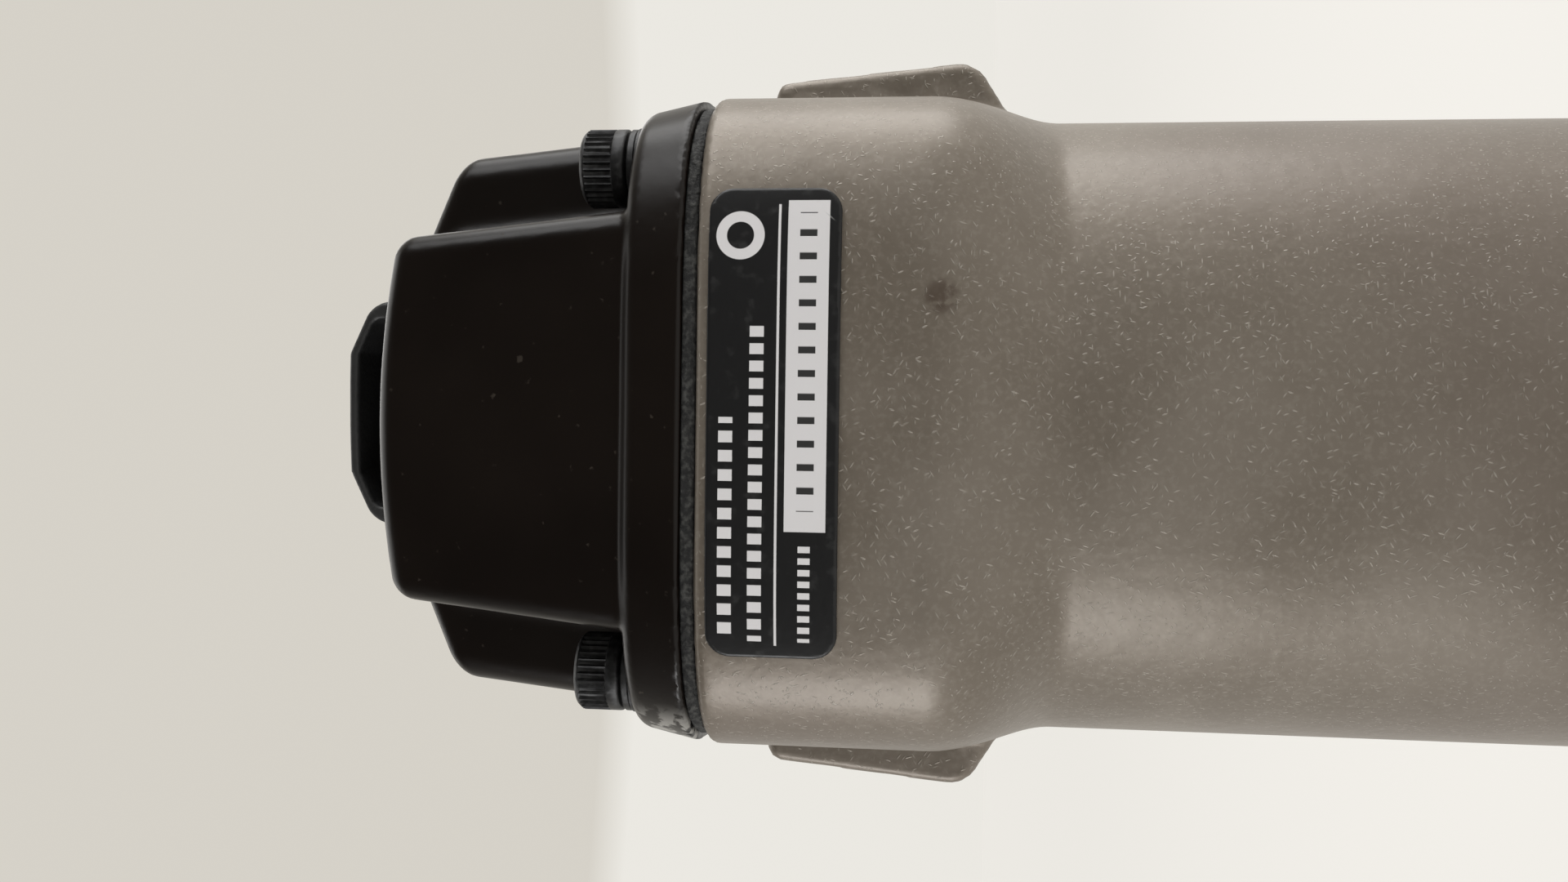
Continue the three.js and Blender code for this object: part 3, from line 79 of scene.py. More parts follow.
def addCamera(setup):
    rise, pitch, roll = (math.radians(setup[key]) for key in ("rise", "pitch", "roll"))
    ahead = Vector((0, math.cos(rise), math.sin(rise)))
    right = Vector((0, math.sin(rise), -math.cos(rise)))
    up = Vector((1, 0, 0))
    ahead, up = leaned(ahead, up, pitch)
    right, up = leaned(right, up, roll)
    x, y, z = setup["place"]
    camera = bpy.data.objects.new("camera", bpy.data.cameras.new("camera"))
    camera.data.lens = setup["lens"]
    camera.data.sensor_width = 36
    camera.data.clip_start = 0.005
    turn = Matrix((right, up, -ahead)).transposed().to_4x4()
    camera.matrix_world = Matrix.Translation(Vector((x, y + axisY, z)) / 1000) @ turn
    bpy.context.scene.collection.objects.link(camera)
    bpy.context.scene.camera = camera


softBoxes = {  # place and size in metres, power in watts; each faces the head
    "rightSoftBox": {"place": (0.75, -0.05, 0.30), "size": (0.5, 0.7), "power": 4.5},
    "leftSoftBox": {"place": (-0.62, -0.42, 0.26), "size": (0.3, 0.3), "power": 2.6},
    "frontSoftBox": {"place": (0.95, -0.62, 0.62), "size": (0.5, 0.6), "power": 5.5},
    "topSoftBox": {"place": (-0.1, 0.1, 1.1), "size": (0.9, 0.9), "power": 3},
    "rearSoftBox": {"place": (0.35, 0.95, 0.95), "size": (0.7, 0.7), "power": 2},
}


def addLights(boxes):
    aim = Vector((0, axisY / 1000, 0.2))
    for name, box in boxes.items():
        light = bpy.data.lights.new(name, "AREA")
        light.shape = "RECTANGLE"
        light.size, light.size_y = box["size"]
        light.energy = box["power"]
        lamp = bpy.data.objects.new(name, light)
        lamp.location = box["place"]
        lamp.rotation_euler = (aim - lamp.location).to_track_quat("-Z", "Y").to_euler()
        bpy.context.scene.collection.objects.link(lamp)


roomLight = {"upper": (0.67, 0.64, 0.58), "lower": (0.83, 0.81, 0.76), "edge": 0.223, "blur": 0.012,
             "dimFrom": -0.35, "brightFrom": 0.25, "behind": 0.16, "strength": 1.0}


def addRoom(light):
    world = bpy.data.worlds.new("room")
    world.use_nodes = True
    bpy.context.scene.world = world
    nodes, links = world.node_tree.nodes, world.node_tree.links
    place = nodes.new("ShaderNodeTexCoord")
    height = nodes.new("ShaderNodeSeparateXYZ")
    blend = nodes.new("ShaderNodeMapRange")
    blend.inputs["From Min"].default_value = light["edge"] - light["blur"]
    blend.inputs["From Max"].default_value = light["edge"] + light["blur"]
    front = nodes.new("ShaderNodeMapRange")  # the room is dim on the side the camera stands
    front.inputs["From Min"].default_value = light["dimFrom"]
    front.inputs["From Max"].default_value = light["brightFrom"]
    front.inputs["To Min"].default_value = light["behind"] * light["strength"]
    front.inputs["To Max"].default_value = light["strength"]
    colour = nodes.new("ShaderNodeMix")
    colour.data_type = "RGBA"
    colour.inputs[6].default_value = (*light["lower"], 1)
    colour.inputs[7].default_value = (*light["upper"], 1)
    back = nodes["Background"]
    links.new(place.outputs["Generated"], height.inputs[0])
    links.new(height.outputs["Z"], blend.inputs["Value"])
    links.new(blend.outputs["Result"], colour.inputs[0])
    links.new(height.outputs["Y"], front.inputs["Value"])
    links.new(front.outputs["Result"], back.inputs["Strength"])
    links.new(colour.outputs[2], back.inputs["Color"])


floorPaper = {"colour": (0.12, 0.115, 0.11), "glow": (0.93, 0.91, 0.86), "glowStrength": 0.8,
              "roughness": 0.9, "halfSize": 6}


def addFloor(paperLook):
    mesh = bpy.data.meshes.new("floor")
    reach = paperLook["halfSize"]
    corners = [(-reach, -reach, 0), (reach, -reach, 0), (reach, reach, 0), (-reach, reach, 0)]
    mesh.from_pydata(corners, [], [(0, 1, 2, 3)])
    floor = bpy.data.objects.new("floor", mesh)
    bpy.context.scene.collection.objects.link(floor)
    paper = bpy.data.materials.new("paper")
    paper.use_nodes = True
    shader = paper.node_tree.nodes["Principled BSDF"]
    shader.inputs["Base Color"].default_value = (*paperLook["colour"], 1)
    shader.inputs["Roughness"].default_value = paperLook["roughness"]
    shader.inputs["Emission Color"].default_value = (*paperLook["glow"], 1)
    shader.inputs["Emission Strength"].default_value = paperLook["glowStrength"]
    mesh.materials.append(paper)


addCamera(cameraSetup)
addLights(softBoxes)
addRoom(roomLight)
addFloor(floorPaper)
bpy.context.scene.view_settings.view_transform = "Standard"
print("camera, lights and floor placed")


# shader writing: Flow carries a number's socket with its arithmetic, Finish builds one material

class Flow:
    def __init__(self, finish, socket):
        self.finish = finish
        self.socket = socket

    def math(self, operation, first, second):
        node = self.finish.node("ShaderNodeMath", {"operation": operation}, {0: first, 1: second})
        return Flow(self.finish, node.outputs[0])

    def __add__(self, other):
        return self.math("ADD", self, other)

    def __sub__(self, other):
        return self.math("SUBTRACT", self, other)

    def __rsub__(self, other):
        return self.math("SUBTRACT", other, self)

    def __mul__(self, other):
        return self.math("MULTIPLY", self, other)

    def __truediv__(self, other):
        return self.math("DIVIDE", self, other)

    def __abs__(self):
        return self.math("ABSOLUTE", self, 0)

    __radd__ = __add__
    __rmul__ = __mul__

    def most(self, other):
        return self.math("MAXIMUM", self, other)

    def ramp(self, low, high):  # 0 below low, 1 above high, smooth between
        if low > high:
            return 1 - self.ramp(high, low)
        settings = {"interpolation_type": "SMOOTHSTEP"}
        sockets = {"Value": self, "From Min": low, "From Max": high}
        node = self.finish.node("ShaderNodeMapRange", settings, sockets)
        return Flow(self.finish, node.outputs["Result"])


class Finish:
    def __init__(self, name):
        self.material = bpy.data.materials.new(name)
        self.material.use_nodes = True
        self.tree = self.material.node_tree
        self.shader = self.tree.nodes["Principled BSDF"]
        coordinates = self.node("ShaderNodeTexCoord", {}, {}).outputs["Object"]
        self.place = coordinates
        split = self.node("ShaderNodeSeparateXYZ", {}, {0: coordinates})
        self.x, self.y, self.z = (Flow(self, output) for output in split.outputs)

    def node(self, kind, settings, sockets):
        made = self.tree.nodes.new(kind)
        for key, value in settings.items():
            setattr(made, key, value)
        for key, value in sockets.items():
            self.feed(made.inputs[key], value)
        return made

    def feed(self, socket, value):
        if isinstance(value, Flow):
            value = value.socket
        if isinstance(value, bpy.types.NodeSocket):
            self.tree.links.new(value, socket)
        else:
            socket.default_value = value

    def stretched(self, turn, scale):  # after the turn, a small scale draws the pattern out along an axis
        sockets = {"Vector": self.place, "Rotation": turn, "Scale": tuple(1 / share for share in scale)}
        return self.node("ShaderNodeMapping", {"vector_type": "TEXTURE"}, sockets).outputs[0]

    def noise(self, scale, detail=3, place=None, seed=0.0):
        sockets = {"Vector": place or self.place, "W": seed, "Scale": scale, "Detail": detail}
        return Flow(self, self.node("ShaderNodeTexNoise", {"noise_dimensions": "4D"}, sockets).outputs[0])

    def cells(self, scale, place=None):  # distance to each cell's middle, and a random number per cell
        made = self.node("ShaderNodeTexVoronoi", {}, {"Vector": place or self.place, "Scale": scale})
        chance = self.node("ShaderNodeSeparateColor", {}, {0: made.outputs["Color"]})
        return Flow(self, made.outputs["Distance"]), Flow(self, chance.outputs[0])

    def blend(self, factor, first, second):
        sockets = {"Factor": factor, "A": self.colour(first), "B": self.colour(second)}
        made = self.node("ShaderNodeMix", {"data_type": "RGBA"}, {})
        for key, value in sockets.items():
            position = {"Factor": 0, "A": 6, "B": 7}[key]
            self.feed(made.inputs[position], value)
        return made.outputs[2]

    def colour(self, value):
        return (*value, 1) if isinstance(value, tuple) else value

    def bump(self, height, depth, below=None):
        sockets = {"Height": height, "Distance": depth}
        if below is not None:
            sockets["Normal"] = below
        return self.node("ShaderNodeBump", {}, sockets).outputs[0]

    def set(self, **sockets):
        names = {"color": "Base Color", "roughness": "Roughness", "metallic": "Metallic",
                 "normal": "Normal", "coat": "Coat Weight", "coatRoughness": "Coat Roughness",
                 "specular": "Specular IOR Level"}
        for key, value in sockets.items():
            self.feed(self.shader.inputs[names[key]], self.colour(value) if key == "color" else value)
        return self.material


# finishes; places in metres, scales in waves or cells per metre

stainSpot = {"x": 0.0126, "z": 0.2197, "outer": 4.5, "inner": 0.4, "strength": 0.75,
             "colour": (0.05, 0.03, 0.018)}
fleckTurns = ((0.2, 0.3, 0), (0.1, 1.0, 0), (-0.2, 1.6, 0.1), (0.1, 2.2, 0), (0.2, 2.8, 0.1))


def taupePaint():
    finish = Finish("taupePaint")
    flecks = None
    for turn in fleckTurns:
        place = finish.stretched(turn, (1.0, 1.0, 0.2))
        distance, chance = finish.cells(1900, place)
        layer = distance.ramp(0.2, 0.07) * chance.ramp(0.1, 0.9)
        flecks = layer if flecks is None else flecks.most(layer)
    cloud = finish.noise(60)
    grain = finish.noise(1600, 2)
    base = finish.blend(cloud.ramp(0.35, 0.7), (0.138, 0.115, 0.09), (0.175, 0.15, 0.122))
    base = finish.blend(grain.ramp(0.45, 0.75) * 0.3, base, (0.25, 0.225, 0.19))
    # painted reflection: large soft patches of darker purple-brown stand in for a dark reflection on the
    # paint
    base = finish.blend(finish.noise(16, 1).ramp(0.45, 0.62) * 0.35, base, (0.1, 0.074, 0.06))
    base = finish.blend(flecks * 0.4, base, (0.46, 0.43, 0.38))
    across = finish.x - stainSpot["x"]
    along = finish.z - stainSpot["z"]
    stainReach = (across * across + along * along) * 1e6  # square millimetres
    front = (finish.y + 0.12).ramp(0.001, -0.001)
    blotch = finish.noise(700, 4).ramp(0.34, 0.52)
    stain = stainReach.ramp(stainSpot["outer"], stainSpot["inner"]) * blotch * front
    base = finish.blend(stain * stainSpot["strength"], base, stainSpot["colour"])
    peel = finish.bump(finish.noise(420, 2), 0.00012)
    normal = finish.bump(flecks, 0.00004, peel)
    rough = 0.38 + cloud * 0.1 + grain * 0.08
    return finish.set(color=base, roughness=rough, metallic=0.35, normal=normal, coat=0.15,
                      coatRoughness=0.25)


def scratches(finish, scale, share):
    mask = None
    for turn in ((0.2, 0.7, 0.4), (1.1, -0.5, 1.9), (-0.8, 0.2, 2.6)):
        place = finish.stretched(turn, (1.0, 1.0, 0.12))
        distance, chance = finish.cells(scale, place)
        layer = distance.ramp(0.045, 0.02) * chance.ramp(1 - share, 1 - share + 0.01)
        mask = layer if mask is None else mask.most(layer)
    return mask


def blackCoat():
    finish = Finish("blackCoat")
    marks = scratches(finish, 260, 0.07)
    cloud = finish.noise(45)
    dust = finish.noise(900, 4).ramp(0.66, 0.74)
    base = finish.blend(cloud.ramp(0.3, 0.7), (0.0035, 0.002, 0.0014), (0.006, 0.0038, 0.0027))
    base = finish.blend(dust * 0.12, base, (0.16, 0.13, 0.1))
    base = finish.blend(marks * 0.6, base, (0.3, 0.27, 0.24))
    corner = finish.x.ramp(-0.029, -0.033) * finish.z.ramp(0.2445, 0.2455) * finish.z.ramp(0.2535, 0.2515)
    front = (finish.y + 0.127).ramp(0.003, -0.003)  # worn through at the front corner on the -X side
    chips = corner * front * finish.noise(520, 5).ramp(0.49, 0.56) * 0.8
    base = finish.blend(chips, base, (0.33, 0.32, 0.3))
    normal = finish.bump(finish.noise(260, 3), 0.00006)
    rough = 0.27 + cloud * 0.1 + dust * 0.2 + chips * 0.2
    return finish.set(color=base, roughness=rough, normal=normal, specular=0.22)


def mouldedPlastic(name, colour, stipple=1400):
    finish = Finish(name)
    grain = finish.noise(stipple, 2)
    pale = tuple(channel * 1.8 for channel in colour)
    base = finish.blend(finish.noise(80).ramp(0.35, 0.75), colour, pale)
    normal = finish.bump(grain, 0.00008)
    return finish.set(color=base, roughness=0.42 + grain * 0.25, normal=normal)


def softRubber():
    finish = Finish("softRubber")
    grain = finish.noise(900, 4)
    base = finish.blend(grain.ramp(0.4, 0.75), (0.012, 0.012, 0.012), (0.03, 0.029, 0.028))
    return finish.set(color=base, roughness=0.65 + grain * 0.25, normal=finish.bump(grain, 0.00012))


def gasketSheet():
    finish = Finish("gasketSheet")
    grain = finish.noise(1500, 5)
    base = finish.blend(grain.ramp(0.42, 0.7), (0.003, 0.003, 0.003), (0.045, 0.045, 0.042))
    return finish.set(color=base, roughness=0.8, normal=finish.bump(grain, 0.0004))


def blackOxide():
    finish = Finish("blackOxide")
    grain = finish.noise(1100, 4)
    base = finish.blend(grain.ramp(0.4, 0.8), (0.012, 0.012, 0.0125), (0.05, 0.05, 0.052))
    base = finish.blend(scratches(finish, 500, 0.08) * 0.5, base, (0.35, 0.34, 0.33))
    normal = finish.bump(grain, 0.00005)
    return finish.set(color=base, roughness=0.36 + grain * 0.2, metallic=0.45, normal=normal)


def bareMetal(name, colour, roughness, drawn):  # drawn gives the direction that the tool marks run in
    finish = Finish(name)
    lines = finish.noise(700, 3, finish.stretched((0, 0, 0), drawn))
    cloud = finish.noise(50)
    dark = tuple(channel * 0.78 for channel in colour)
    base = finish.blend(lines.ramp(0.25, 0.8), dark, colour)
    base = finish.blend(cloud.ramp(0.5, 0.8) * 0.35, base, tuple(channel * 0.75 for channel in colour))
    rough = roughness + cloud * 0.12 + lines * 0.1
    return finish.set(color=base, roughness=rough, metallic=1.0, normal=finish.bump(lines, 0.00004))


def anodised():
    finish = Finish("anodised")
    lines = finish.noise(800, 3, finish.stretched((0, 0, 0), (1, 0.03, 1)))
    base = finish.blend(lines.ramp(0.3, 0.8), (0.015, 0.015, 0.016), (0.035, 0.035, 0.037))
    base = finish.blend(scratches(finish, 170, 0.1) * 0.4, base, (0.4, 0.4, 0.4))
    normal = finish.bump(lines, 0.00003)
    return finish.set(color=base, roughness=0.34 + lines * 0.15, metallic=0.5, normal=normal)


def urethane():
    finish = Finish("urethane")
    cloud = finish.noise(120)
    base = finish.blend(cloud.ramp(0.3, 0.7), (0.45, 0.25, 0.05), (0.62, 0.4, 0.1))
    return finish.set(color=base, roughness=0.35 + cloud * 0.1, normal=finish.bump(cloud, 0.0001))


labelPrint = {  # millimetres on the label: across from its middle to +X, up from its lower edge
    "field": {"span": (-10.6, 22.0, 1.2, 5.3)},
    "rule": {"span": (-22.0, 21.6, 6.0, 6.25)},
    "ring": {"across": 18.5, "up": 10.0, "outer": 2.4, "inner": 1.35},
    "upperRow": {"span": (-21.6, 0.6, 10.5, 11.9), "pitch": 1.9, "share": 0.6},
    "lowerRow": {"span": (-21.6, 9.6, 7.5, 8.9), "pitch": 1.7, "share": 0.62},
    "smallRow": {"span": (-21.6, -12.0, 2.7, 3.9), "pitch": 1.15, "share": 0.55},
    "dashes": {"span": (-8.6, 20.8, 2.4, 4.1), "pitch": 2.3, "share": 0.3},
    "blur": 0.03,
}


def labelFilm():
    finish = Finish("labelFilm")
    low, _ = boxOf("rating_label")
    across = finish.x * 1000
    up = finish.z * 1000 - float(low[2])
    blur = labelPrint["blur"]

    def bar(name):
        left, right, bottom, top = labelPrint[name]["span"]
        sides = across.ramp(left - blur, left + blur) * across.ramp(right + blur, right - blur)
        return sides * up.ramp(bottom - blur, bottom + blur) * up.ramp(top + blur, top - blur)

    def blocks(name):  # a row of short bars, each filling its share of the pitch
        pitch, share = labelPrint[name]["pitch"], labelPrint[name]["share"]
        phase = finish.node("ShaderNodeMath", {"operation": "FRACT"}, {0: across / pitch})
        beat = Flow(finish, phase.outputs[0])
        return bar(name) * beat.ramp(share + blur, share - blur)

    field = bar("field")
    ring = labelPrint["ring"]
    distance = finish.node("ShaderNodeVectorMath", {"operation": "LENGTH"}, {})
    centre = finish.node("ShaderNodeCombineXYZ", {}, {0: across - ring["across"], 1: up - ring["up"]})
    finish.feed(distance.inputs[0], centre.outputs[0])
    reach = Flow(finish, distance.outputs["Value"])
    within = reach.ramp(ring["outer"] + 0.04, ring["outer"] - 0.04)
    without = reach.ramp(ring["inner"] - 0.04, ring["inner"] + 0.04)
    rows = blocks("upperRow").most(blocks("lowerRow")).most(blocks("smallRow"))
    dashes = blocks("dashes")
    pale = field.most(bar("rule")).most(within * without).most(rows)
    scuff = finish.noise(600, 4).ramp(0.55, 0.72)
    base = finish.blend(scuff * 0.25, (0.008, 0.008, 0.0085), (0.04, 0.04, 0.04))
    base = finish.blend(pale, base, (0.66, 0.65, 0.66))
    base = finish.blend(dashes * field, base, (0.03, 0.03, 0.03))
    base = finish.blend(scratches(finish, 330, 0.1) * 0.5, base, (0.4, 0.4, 0.4))
    normal = finish.bump(finish.noise(700, 2), 0.00003)
    return finish.set(color=base, roughness=0.33 + scuff * 0.15, normal=normal, specular=0.3)


materials = {
    "paint": taupePaint(),
    "black_coat": blackCoat(),
    "black_plastic": mouldedPlastic("blackPlastic", (0.011, 0.011, 0.011)),
    "black_rubber": softRubber(),
    "gasket": gasketSheet(),
    "black_oxide": blackOxide(),
    "steel": bareMetal("groundSteel", (0.5, 0.5, 0.51), 0.24, (1, 1, 0.06)),
    "aluminium": bareMetal("bareAluminium", (0.5, 0.5, 0.51), 0.36, (1, 0.04, 1)),
    "dark_aluminium": anodised(),
    "urethane": urethane(),
    "label": labelFilm(),
}
for name, node in frame["nodes"].items():
    node.data.materials.clear()
    node.data.materials.append(materials[slotOf[name]])
print("finishes made:", len(materials))


# shapes written as distance fields in millimetres, y measured from the drive axis

def roundOr(a, b, radius):
    fillet = np.hypot(np.maximum(radius - a, 0), np.maximum(radius - b, 0))
    return np.maximum(radius, np.minimum(a, b)) - fillet


def roundAnd(a, b, radius):
    return -roundOr(-a, -b, radius)


def roundCut(a, b, radius):
    return roundAnd(a, -b, radius)


def slab(u, low, high):
    return np.abs(u - (low + high) / 2) - (high - low) / 2


def squircle(u, v, halfU, halfV, power):
    size = ((np.abs(u) / halfU) ** power + (np.abs(v) / halfV) ** power) ** (1 / power)
    reach = np.hypot(u, v)
    return reach - reach / np.maximum(size, 1e-3)


def brick(x, y, z, low, high, radius):
    u, v, w = (slab(p, a + radius, b - radius) for p, a, b in zip((x, y, z), low, high))
    outside = np.sqrt(np.maximum(u, 0) ** 2 + np.maximum(v, 0) ** 2 + np.maximum(w, 0) ** 2)
    return outside + np.minimum(np.maximum(np.maximum(u, v), w), 0) - radius


def rod(u, v, w, radius, low, high, edge=0.3):
    return roundAnd(np.hypot(u, v) - radius, slab(w, low, high), edge)


def smoothStep(t):
    t = np.clip(t, 0, 1)
    return t * t * (3 - 2 * t)


def newPiece(name, mesh, slot, body, nodes):
    piece = bpy.data.objects.new(name, mesh)
    bpy.context.scene.collection.objects.link(piece)
    mesh.materials.clear()
    mesh.materials.append(materials[slot])
    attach(piece, body)
    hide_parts(*nodes)
    return piece


def baked(piece, prepare):  # runs modifiers on a helper object and returns the plain mesh
    helper = bpy.data.objects.new("helper", piece)
    bpy.context.scene.collection.objects.link(helper)
    prepare(helper)
    graph = bpy.context.evaluated_depsgraph_get()
    made = bpy.data.meshes.new_from_object(helper.evaluated_get(graph))
    bpy.data.objects.remove(helper)
    return made


def surfaceOf(name, field, low, high, cell, faces=180000):
    cell = cell
    axes = [np.arange(a - 2 * cell, b + 3 * cell, cell, dtype=np.float32) for a, b in zip(low, high)]
    grid = np.meshgrid(*axes, indexing="ij")
    values = field(*grid).astype(np.float32)
    inside = values < 0
    ends = (slice(None, -1), slice(1, None))
    corners = [(i, j, k) for i in (0, 1) for j in (0, 1) for k in (0, 1)]
    count = sum(inside[ends[i], ends[j], ends[k]].astype(np.int8) for i, j, k in corners)
    active = (count > 0) & (count < 8)
    number = np.full(active.shape, -1, np.int64)
    cellIds = np.argwhere(active)
    number[active] = np.arange(len(cellIds))
    total = np.zeros((len(cellIds), 3))
    hits = np.zeros((len(cellIds), 1))
    for corner in corners:  # a vertex is the mean of the crossings on its cell's edges
        for axis in range(3):
            if corner[axis]:
                continue
            first = cellIds + corner
            second = first.copy()
            second[:, axis] += 1
            a = values[tuple(first.T)]
            b = values[tuple(second.T)]
            crosses = (a < 0) != (b < 0)
            share = np.where(crosses, a / np.where(crosses, a - b, 1), 0)
            point = first.astype(float)
            point[:, axis] += share
            total += point * crosses[:, None]
            hits += crosses[:, None]
    points = total / hits * cell + np.array([axis[0] for axis in axes])
    step = 0.04
    for _ in range(4):  # Newton steps onto the surface
        value = field(*points.T)
        slope = []
        for axis in range(3):
            shift = np.zeros(3)
            shift[axis] = step
            slope.append((field(*(points + shift).T) - field(*(points - shift).T)) / (2 * step))
        slope = np.array(slope).T
        move = value[:, None] * slope / np.maximum((slope ** 2).sum(1), 0.1)[:, None]
        length = np.linalg.norm(move, axis=1, keepdims=True)
        points -= move * np.minimum(1, 0.4 * cell / np.maximum(length, 1e-9))
    quads = []
    for axis in range(3):
        lower = [slice(None)] * 3
        upper = [slice(None)] * 3
        lower[axis], upper[axis] = ends
        a, b = inside[tuple(lower)], inside[tuple(upper)]
        edges = np.argwhere(a != b)
        outward = a[tuple(edges.T)]
        u, v = (axis + 1) % 3, (axis + 2) % 3
        around = []
        for du, dv in ((-1, -1), (0, -1), (0, 0), (-1, 0)):
            spot = edges.copy()
            spot[:, u] += du
            spot[:, v] += dv
            around.append(number[tuple(spot.T)])
        around = np.array(around).T
        quads.append(np.where(outward[:, None], around, around[:, ::-1]))
    quads = np.concatenate(quads)
    points[:, 1] += axisY
    mesh = bpy.data.meshes.new(name)
    mesh.from_pydata((points / 1000).tolist(), [], quads.tolist())
    share = faces / (2 * len(quads))
    if share < 1:
        def thin(helper):
            fewer = helper.modifiers.new("fewer", "DECIMATE")
            fewer.ratio = share
        mesh = baked(mesh, thin)
    mesh.shade_smooth()
    print("surface", name, len(mesh.polygons), "faces")
    return mesh


# housing: squared head, round barrel, side pads and hollow handle as one casting

barrel = {"shoulder": (206.5, 221.0), "step": (0.6, 1.5), "power": 2.2, "footInset": 2.5, "footRise": 8}
head = {"padDepth": 5, "halfY": 36.0, "power": 4.2, "edge": 1.0}
handle = {"middle": 176.0, "start": 10, "power": 2.4, "edge": 0.8, "rootFillet": 7.0,
          "along": (16, 34, 46, 202, 209, 222), "halfX": (24, 20, 17, 17, 21, 21),
          "halfZ": (27, 24, 21, 21, 26, 26)}
sidePad = {"topDrop": 5, "bottomDrop": 28.2, "halfWidth": 13.0, "inset": 0.5, "fillet": 0.6, "topRound": 1.6,
           "chinRound": 1.9, "sideRound": 1.0}
chamber = {"bottom": 124, "edge": 0.8, "height": (124, 132, 135, 156, 160, 168, 172, 250),
           "radius": (24.4, 24.4, 27.5, 27.5, 24.4, 24.4, 27.5, 27.5)}
airSpace = {"halfX": 13.2, "halfZ": 17.2, "power": 2.3, "start": 21, "edge": 0.8}
valveBore = {"y": 51, "radius": 9.3, "bottom": 132, "top": 176}
triggerEar = {"low": (8.3, 33.0, 142.0), "high": (11.3, 45.0, 161.0), "edge": 1.0, "fillet": 1.2,
              "pinY": 38, "pinZ": 147, "pin": 1.8}
bracketSeat = {"low": (-11, 204, 150), "high": (11, 222, 157), "edge": 0.8, "fillet": 0.8, "boltY": 212,
               "bolt": 2.8}
bladeSlot = {"low": (-4, -4, 110), "high": (4, 4, 126), "edge": 0.5}
capScrewPlace = (27.6, 22)
noseScrewPlace = (17, 16)
endScrewPlace = (12, 18.5)
screwHole = 2.8
castingCell = 0.72


def barrelField(x, y, z):  # round below the shoulder, squared above it, drawn in a little at the foot
    low, high = barrel["shoulder"]
    share = smoothStep((z - low) / (high - low))
    rise = (housingLow[2] + barrel["footRise"] - z) / barrel["footRise"]
    foot = barrel["footInset"] * np.clip(rise, 0, 1) ** 2.5
    halfX = housingHigh[0] - head["padDepth"] - barrel["step"][0] * (1 - share) - foot
    halfY = head["halfY"] - barrel["step"][1] * (1 - share) - foot
    power = barrel["power"] + (head["power"] - barrel["power"]) * share
    return squircle(x, y, halfX, halfY, power)


def handleField(x, y, z):
    along = np.clip(y, 0, 300)
    halfX = np.interp(along, handle["along"], handle["halfX"]).astype(np.float32)
    halfZ = np.interp(along, handle["along"], handle["halfZ"]).astype(np.float32)
    bar = squircle(x, z - handle["middle"], halfX, halfZ, handle["power"])
    return roundAnd(bar, slab(y, handle["start"], housingHigh[1]), handle["edge"])


def sidePadField(side, y, z):  # outer face leaning in toward the cap, a chin below, square ends
    top = housingHigh[2] - sidePad["topDrop"]
    bottom = housingHigh[2] - sidePad["bottomDrop"]
    reach = housingHigh[0]
    lean = ((side - reach + sidePad["inset"]) * 17.4 + (z - (bottom + 5)) * 1.7) / 17.48
    chin = ((side - reach + 0.8) * 2.8 - (z - bottom) * 4.5) / 5.3
    block = roundAnd(lean, z - top, sidePad["topRound"])
    block = roundAnd(block, chin, sidePad["chinRound"])
    block = roundAnd(block, slab(y, -sidePad["halfWidth"], sidePad["halfWidth"]), sidePad["sideRound"])
    return roundAnd(block, bottom - 7 - z, 1.0)


def hollows(x, y, z):  # what is cut from the casting, each with the radius of its rim
    side, top = np.abs(x), housingHigh[2]
    wall = np.interp(z, chamber["height"], chamber["radius"]).astype(np.float32)
    yield roundAnd(np.hypot(x, y) - wall, chamber["bottom"] - z, chamber["edge"]), 0.6
    space = squircle(x, z - handle["middle"], airSpace["halfX"], airSpace["halfZ"], airSpace["power"])
    yield roundAnd(space, airSpace["start"] - y, airSpace["edge"]), 0.6
    yield rod(x, y - valveBore["y"], z, valveBore["radius"], valveBore["bottom"], valveBore["top"]), 0.5
    yield np.hypot(y - triggerEar["pinY"], z - triggerEar["pinZ"]) - triggerEar["pin"], 0.3
    capHoles = np.hypot(side - capScrewPlace[0], np.abs(y) - capScrewPlace[1]) - screwHole
    yield roundAnd(capHoles, top - 14 - z, 0.3), 0.3
    noseHoles = np.hypot(side - noseScrewPlace[0], np.abs(y) - noseScrewPlace[1]) - screwHole
    yield roundAnd(noseHoles, z - 123, 0.3), 0.3
    height = np.abs(z - handle["middle"])
    endHoles = np.hypot(side - endScrewPlace[0], height - endScrewPlace[1]) - 2.05
    yield roundAnd(endHoles, housingHigh[1] - 12 - y, 0.3), 0.3
    yield rod(x, y - bracketSeat["boltY"], z, bracketSeat["bolt"], 140, 156.5), 0.3
    yield brick(x, y, z, bladeSlot["low"], bladeSlot["high"], bladeSlot["edge"]), 0.4


def housingField(x, y, z):
    body = roundOr(barrelField(x, y, z), handleField(x, y, z), handle["rootFillet"])
    body = roundAnd(body, slab(z, housingLow[2], housingHigh[2]), head["edge"])
    side = np.abs(x)
    body = roundOr(body, sidePadField(side, y, z), sidePad["fillet"])
    ears = brick(side, y, z, triggerEar["low"], triggerEar["high"], triggerEar["edge"])
    body = roundOr(body, ears, triggerEar["fillet"])
    seat = brick(x, y, z, bracketSeat["low"], bracketSeat["high"], bracketSeat["edge"])
    body = roundOr(body, seat, bracketSeat["fillet"])
    for hollow, rim in hollows(x, y, z):
        body = roundCut(body, hollow, rim)
    return body


housingMesh = surfaceOf("housing", housingField, housingLow, housingHigh, castingCell)
newPiece("housingCasting", housingMesh, "paint", "frame", ["housing"])


# cylinder cap: flange with a crossed dome, cast and coated black

